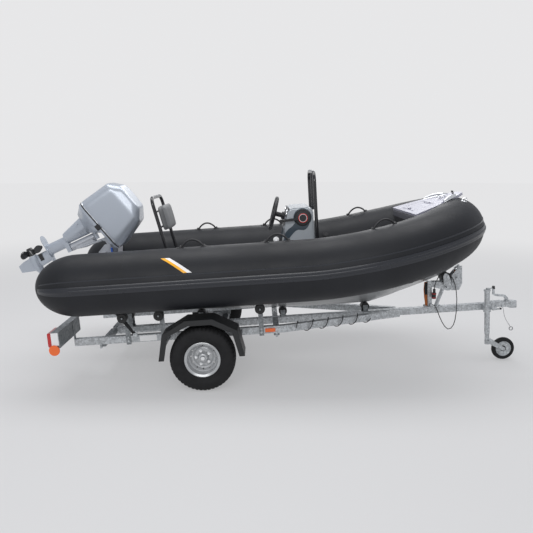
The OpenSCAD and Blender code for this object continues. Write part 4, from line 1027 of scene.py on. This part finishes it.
def make_tyre(label, side):
    """A road tyre: smooth walls, a rounded tread with grooves round it and notched shoulders."""
    half = [
        (131, -66), (150, -74), (166, -84), (180, -94), (196, -97.5), (210, -97.5), (222, -95),
        (232, -92), (243, -86), (250, -80), (255, -74), (259, -66), (262, -58), (263, -50),
        (263.5, -42), (256, -41), (256, -34), (264.3, -33), (265, -22), (265, -9), (257, -8),
    ]
    profile = half + [(r, -h) for r, h in reversed(half)] + half[:1]

    def notched(k, r, h):
        """Cuts a notch in the shoulders every 4 steps, and one in the middle ribs every 8."""
        shoulder = 44 < abs(h) < 84
        middle = 12 < abs(h) < 30
        if shoulder and k % 4 == 0:
            return r - 6
        if middle and k % 8 == (2 if h > 0 else 5):
            return r - 5
        return r

    form = Shape(AXLE).turn(profile, (0, side * TRACK_Y, 0), (0, 1, 0), 192, notched)
    bmesh.ops.remove_doubles(form.form, verts=form.form.verts, dist=1e-6)
    tyre = form.done(label + "_tyre_rubber", TYRE, "tyre_rubber", label + "_wheel", smooth=30)
    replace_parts(tyre, label + "_tyre")
    rounded(label + "_rim", RIM, 1)
    nuts = Shape(AXLE)
    for k in range(5):
        t = 2 * math.pi * (k + 0.5) / 5
        nuts.nut((57 * math.cos(t), side * (TRACK_Y + 8), 57 * math.sin(t)), (0, side, 0), 17, 18)
    nuts.rod((0, side * (TRACK_Y + 30), 0), (0, side * (TRACK_Y + 44), 0), 24, 16, 24)
    nuts.done(label + "_wheel_nuts", CHROME, "rim_steel", label + "_wheel")
    valve_stem = Shape(AXLE).rod((0, side * (TRACK_Y + 10), 112), (0, side * (TRACK_Y + 46), 108), 4)
    valve_stem.done(label + "_tyre_valve", BLACK_PLASTIC, "tyre_rubber", label + "_wheel")


make_tyre("left", 1)
make_tyre("right", -1)


def make_trailer_fasteners():
    """Nuts and bolt heads on washers where frame members meet."""
    form = Shape(LEVEL)
    for s in (-1, 1):
        for x in (-906, 600):
            for z in (BEAM_TOP - 40, BEAM_TOP - 14):
                form.nut((x + 25, s * (RAIL_Y + RAIL_HALF + 0.2), z), (0, s, 0), 16, 9)
        for x in (-640, -340, 497):
            for z in (352, 380):
                form.nut((x, s * (RAIL_Y + 33.3), z), (0, s, 0), 15, 9)
        for x in (85, 175):
            form.nut((x, s * (RAIL_Y + RAIL_HALF + 0.2), 360), (0, s, 0), 17, 10)
        for x in (2036, 2160):
            form.nut((x, s * 30, BEAM_TOP + 6.5), (0, 0, 1), 13, 8)
        for x in (2645, 2700):
            form.nut((x, s * 36.2, BEAM_TOP - 28), (0, s, 0), 17, 9)
        for x in (2292, 2330):
            form.nut((x, s * 38.2, 530), (0, s, 0), 12, 7)
    form.done("frame_bolts", ZINC, "galvanised")


def make_straps():
    """Tie-down straps from the hull's side to the rails, with ratchets."""
    for side, label in SIDES:
        top = (-745, side * 505, 655)
        foot = (-575, side * (RAIL_Y + 30), 398)
        middle = ((top[0] + foot[0]) / 2, side * 492, 527)
        strap = Shape(LEVEL).tube([top, middle, foot], 14, 8, flat=0.12, ref=(0.2, side, 0))
        strap.done(label + "_tie_down", BLACK_WEB, "webbing")
        ratchet = Shape(LEVEL).block((-596, side * (RAIL_Y + 26), 372), (-560, side * (RAIL_Y + 38), 418))
        ratchet.done(label + "_ratchet", ZINC, "galvanised", bevel=2)


def make_plates():
    """Blank white plates on the rail and on the lamp boards' ends."""
    for side, label in SIDES:
        y = side * (RAIL_Y + RAIL_HALF + 0.3)
        plate = Shape(LEVEL).block((-545, y, 342), (-400, y + side * 1.2, 390))
        plate.done(label + "_blank_plate", WHITE, "galvanised")
        plate = Shape(LEVEL).block((-1169, side * 800.3, 450), (-1112, side * 801.6, 552))
        plate.done(label + "_end_plate", WHITE, "galvanised")


def make_post_details():
    """Lashing behind the winch post, red rings on the plug, black grips and the jockey wheel's hub."""
    route = [(2044, -12, 590), (2036, -12, 520), (2040, -12, 450), (2050, -12, 362)]
    strap = Shape(LEVEL).tube(route, 16, 8, flat=0.16, ref=(0, 1, 0))
    strap.done("post_strap", ORANGE_WEB, "webbing")
    route = [(2049, -14, 585), (2043, -14, 530), (2047, -14, 470)]
    strap = Shape(LEVEL).tube(route, 17, 8, flat=0.1, ref=(0, 1, 0))
    strap.done("post_strap_edge", BLACK_WEB, "webbing")
    plug = Shape(Matrix.Translation(((2067 + AXLE_X) / 1000, -0.062, 0.574)))
    for z in (6, 44):
        plug.rod((0, 0, z), (0, 0, z + 6), 20.5, sides=24)
    plug.done("plug_rings", RED_RING, "black_plastic")
    grips = Shape(LEVEL)
    grips.rod((2398, 122, 566), (2398, 78, 566), 15, 13)
    grips.rod((2641, -90, 502), (2641, -90, 528), 15, 12)
    grips.rod((2691, -146, 326), (2675, -146, 325.5), 9, 10)
    grips.done("hand_grips", BLACK_PLASTIC, "black_plastic")
    dish = [(8, 9), (24, 10), (34, 14), (58, 10), (66, 18), (70, 18), (70, 14), (60, 8.4), (8, 8.2), (8, 9)]
    hub = Shape()
    for s in (-1, 1):
        hub.turn(dish, (2729 + AXLE_X, -90, 104), (0, s, 0), 40)
    hub.done("jockey_hub", ZINC, "galvanised", "jockey_roll")


make_trailer_fasteners()
make_straps()
make_plates()
make_post_details()
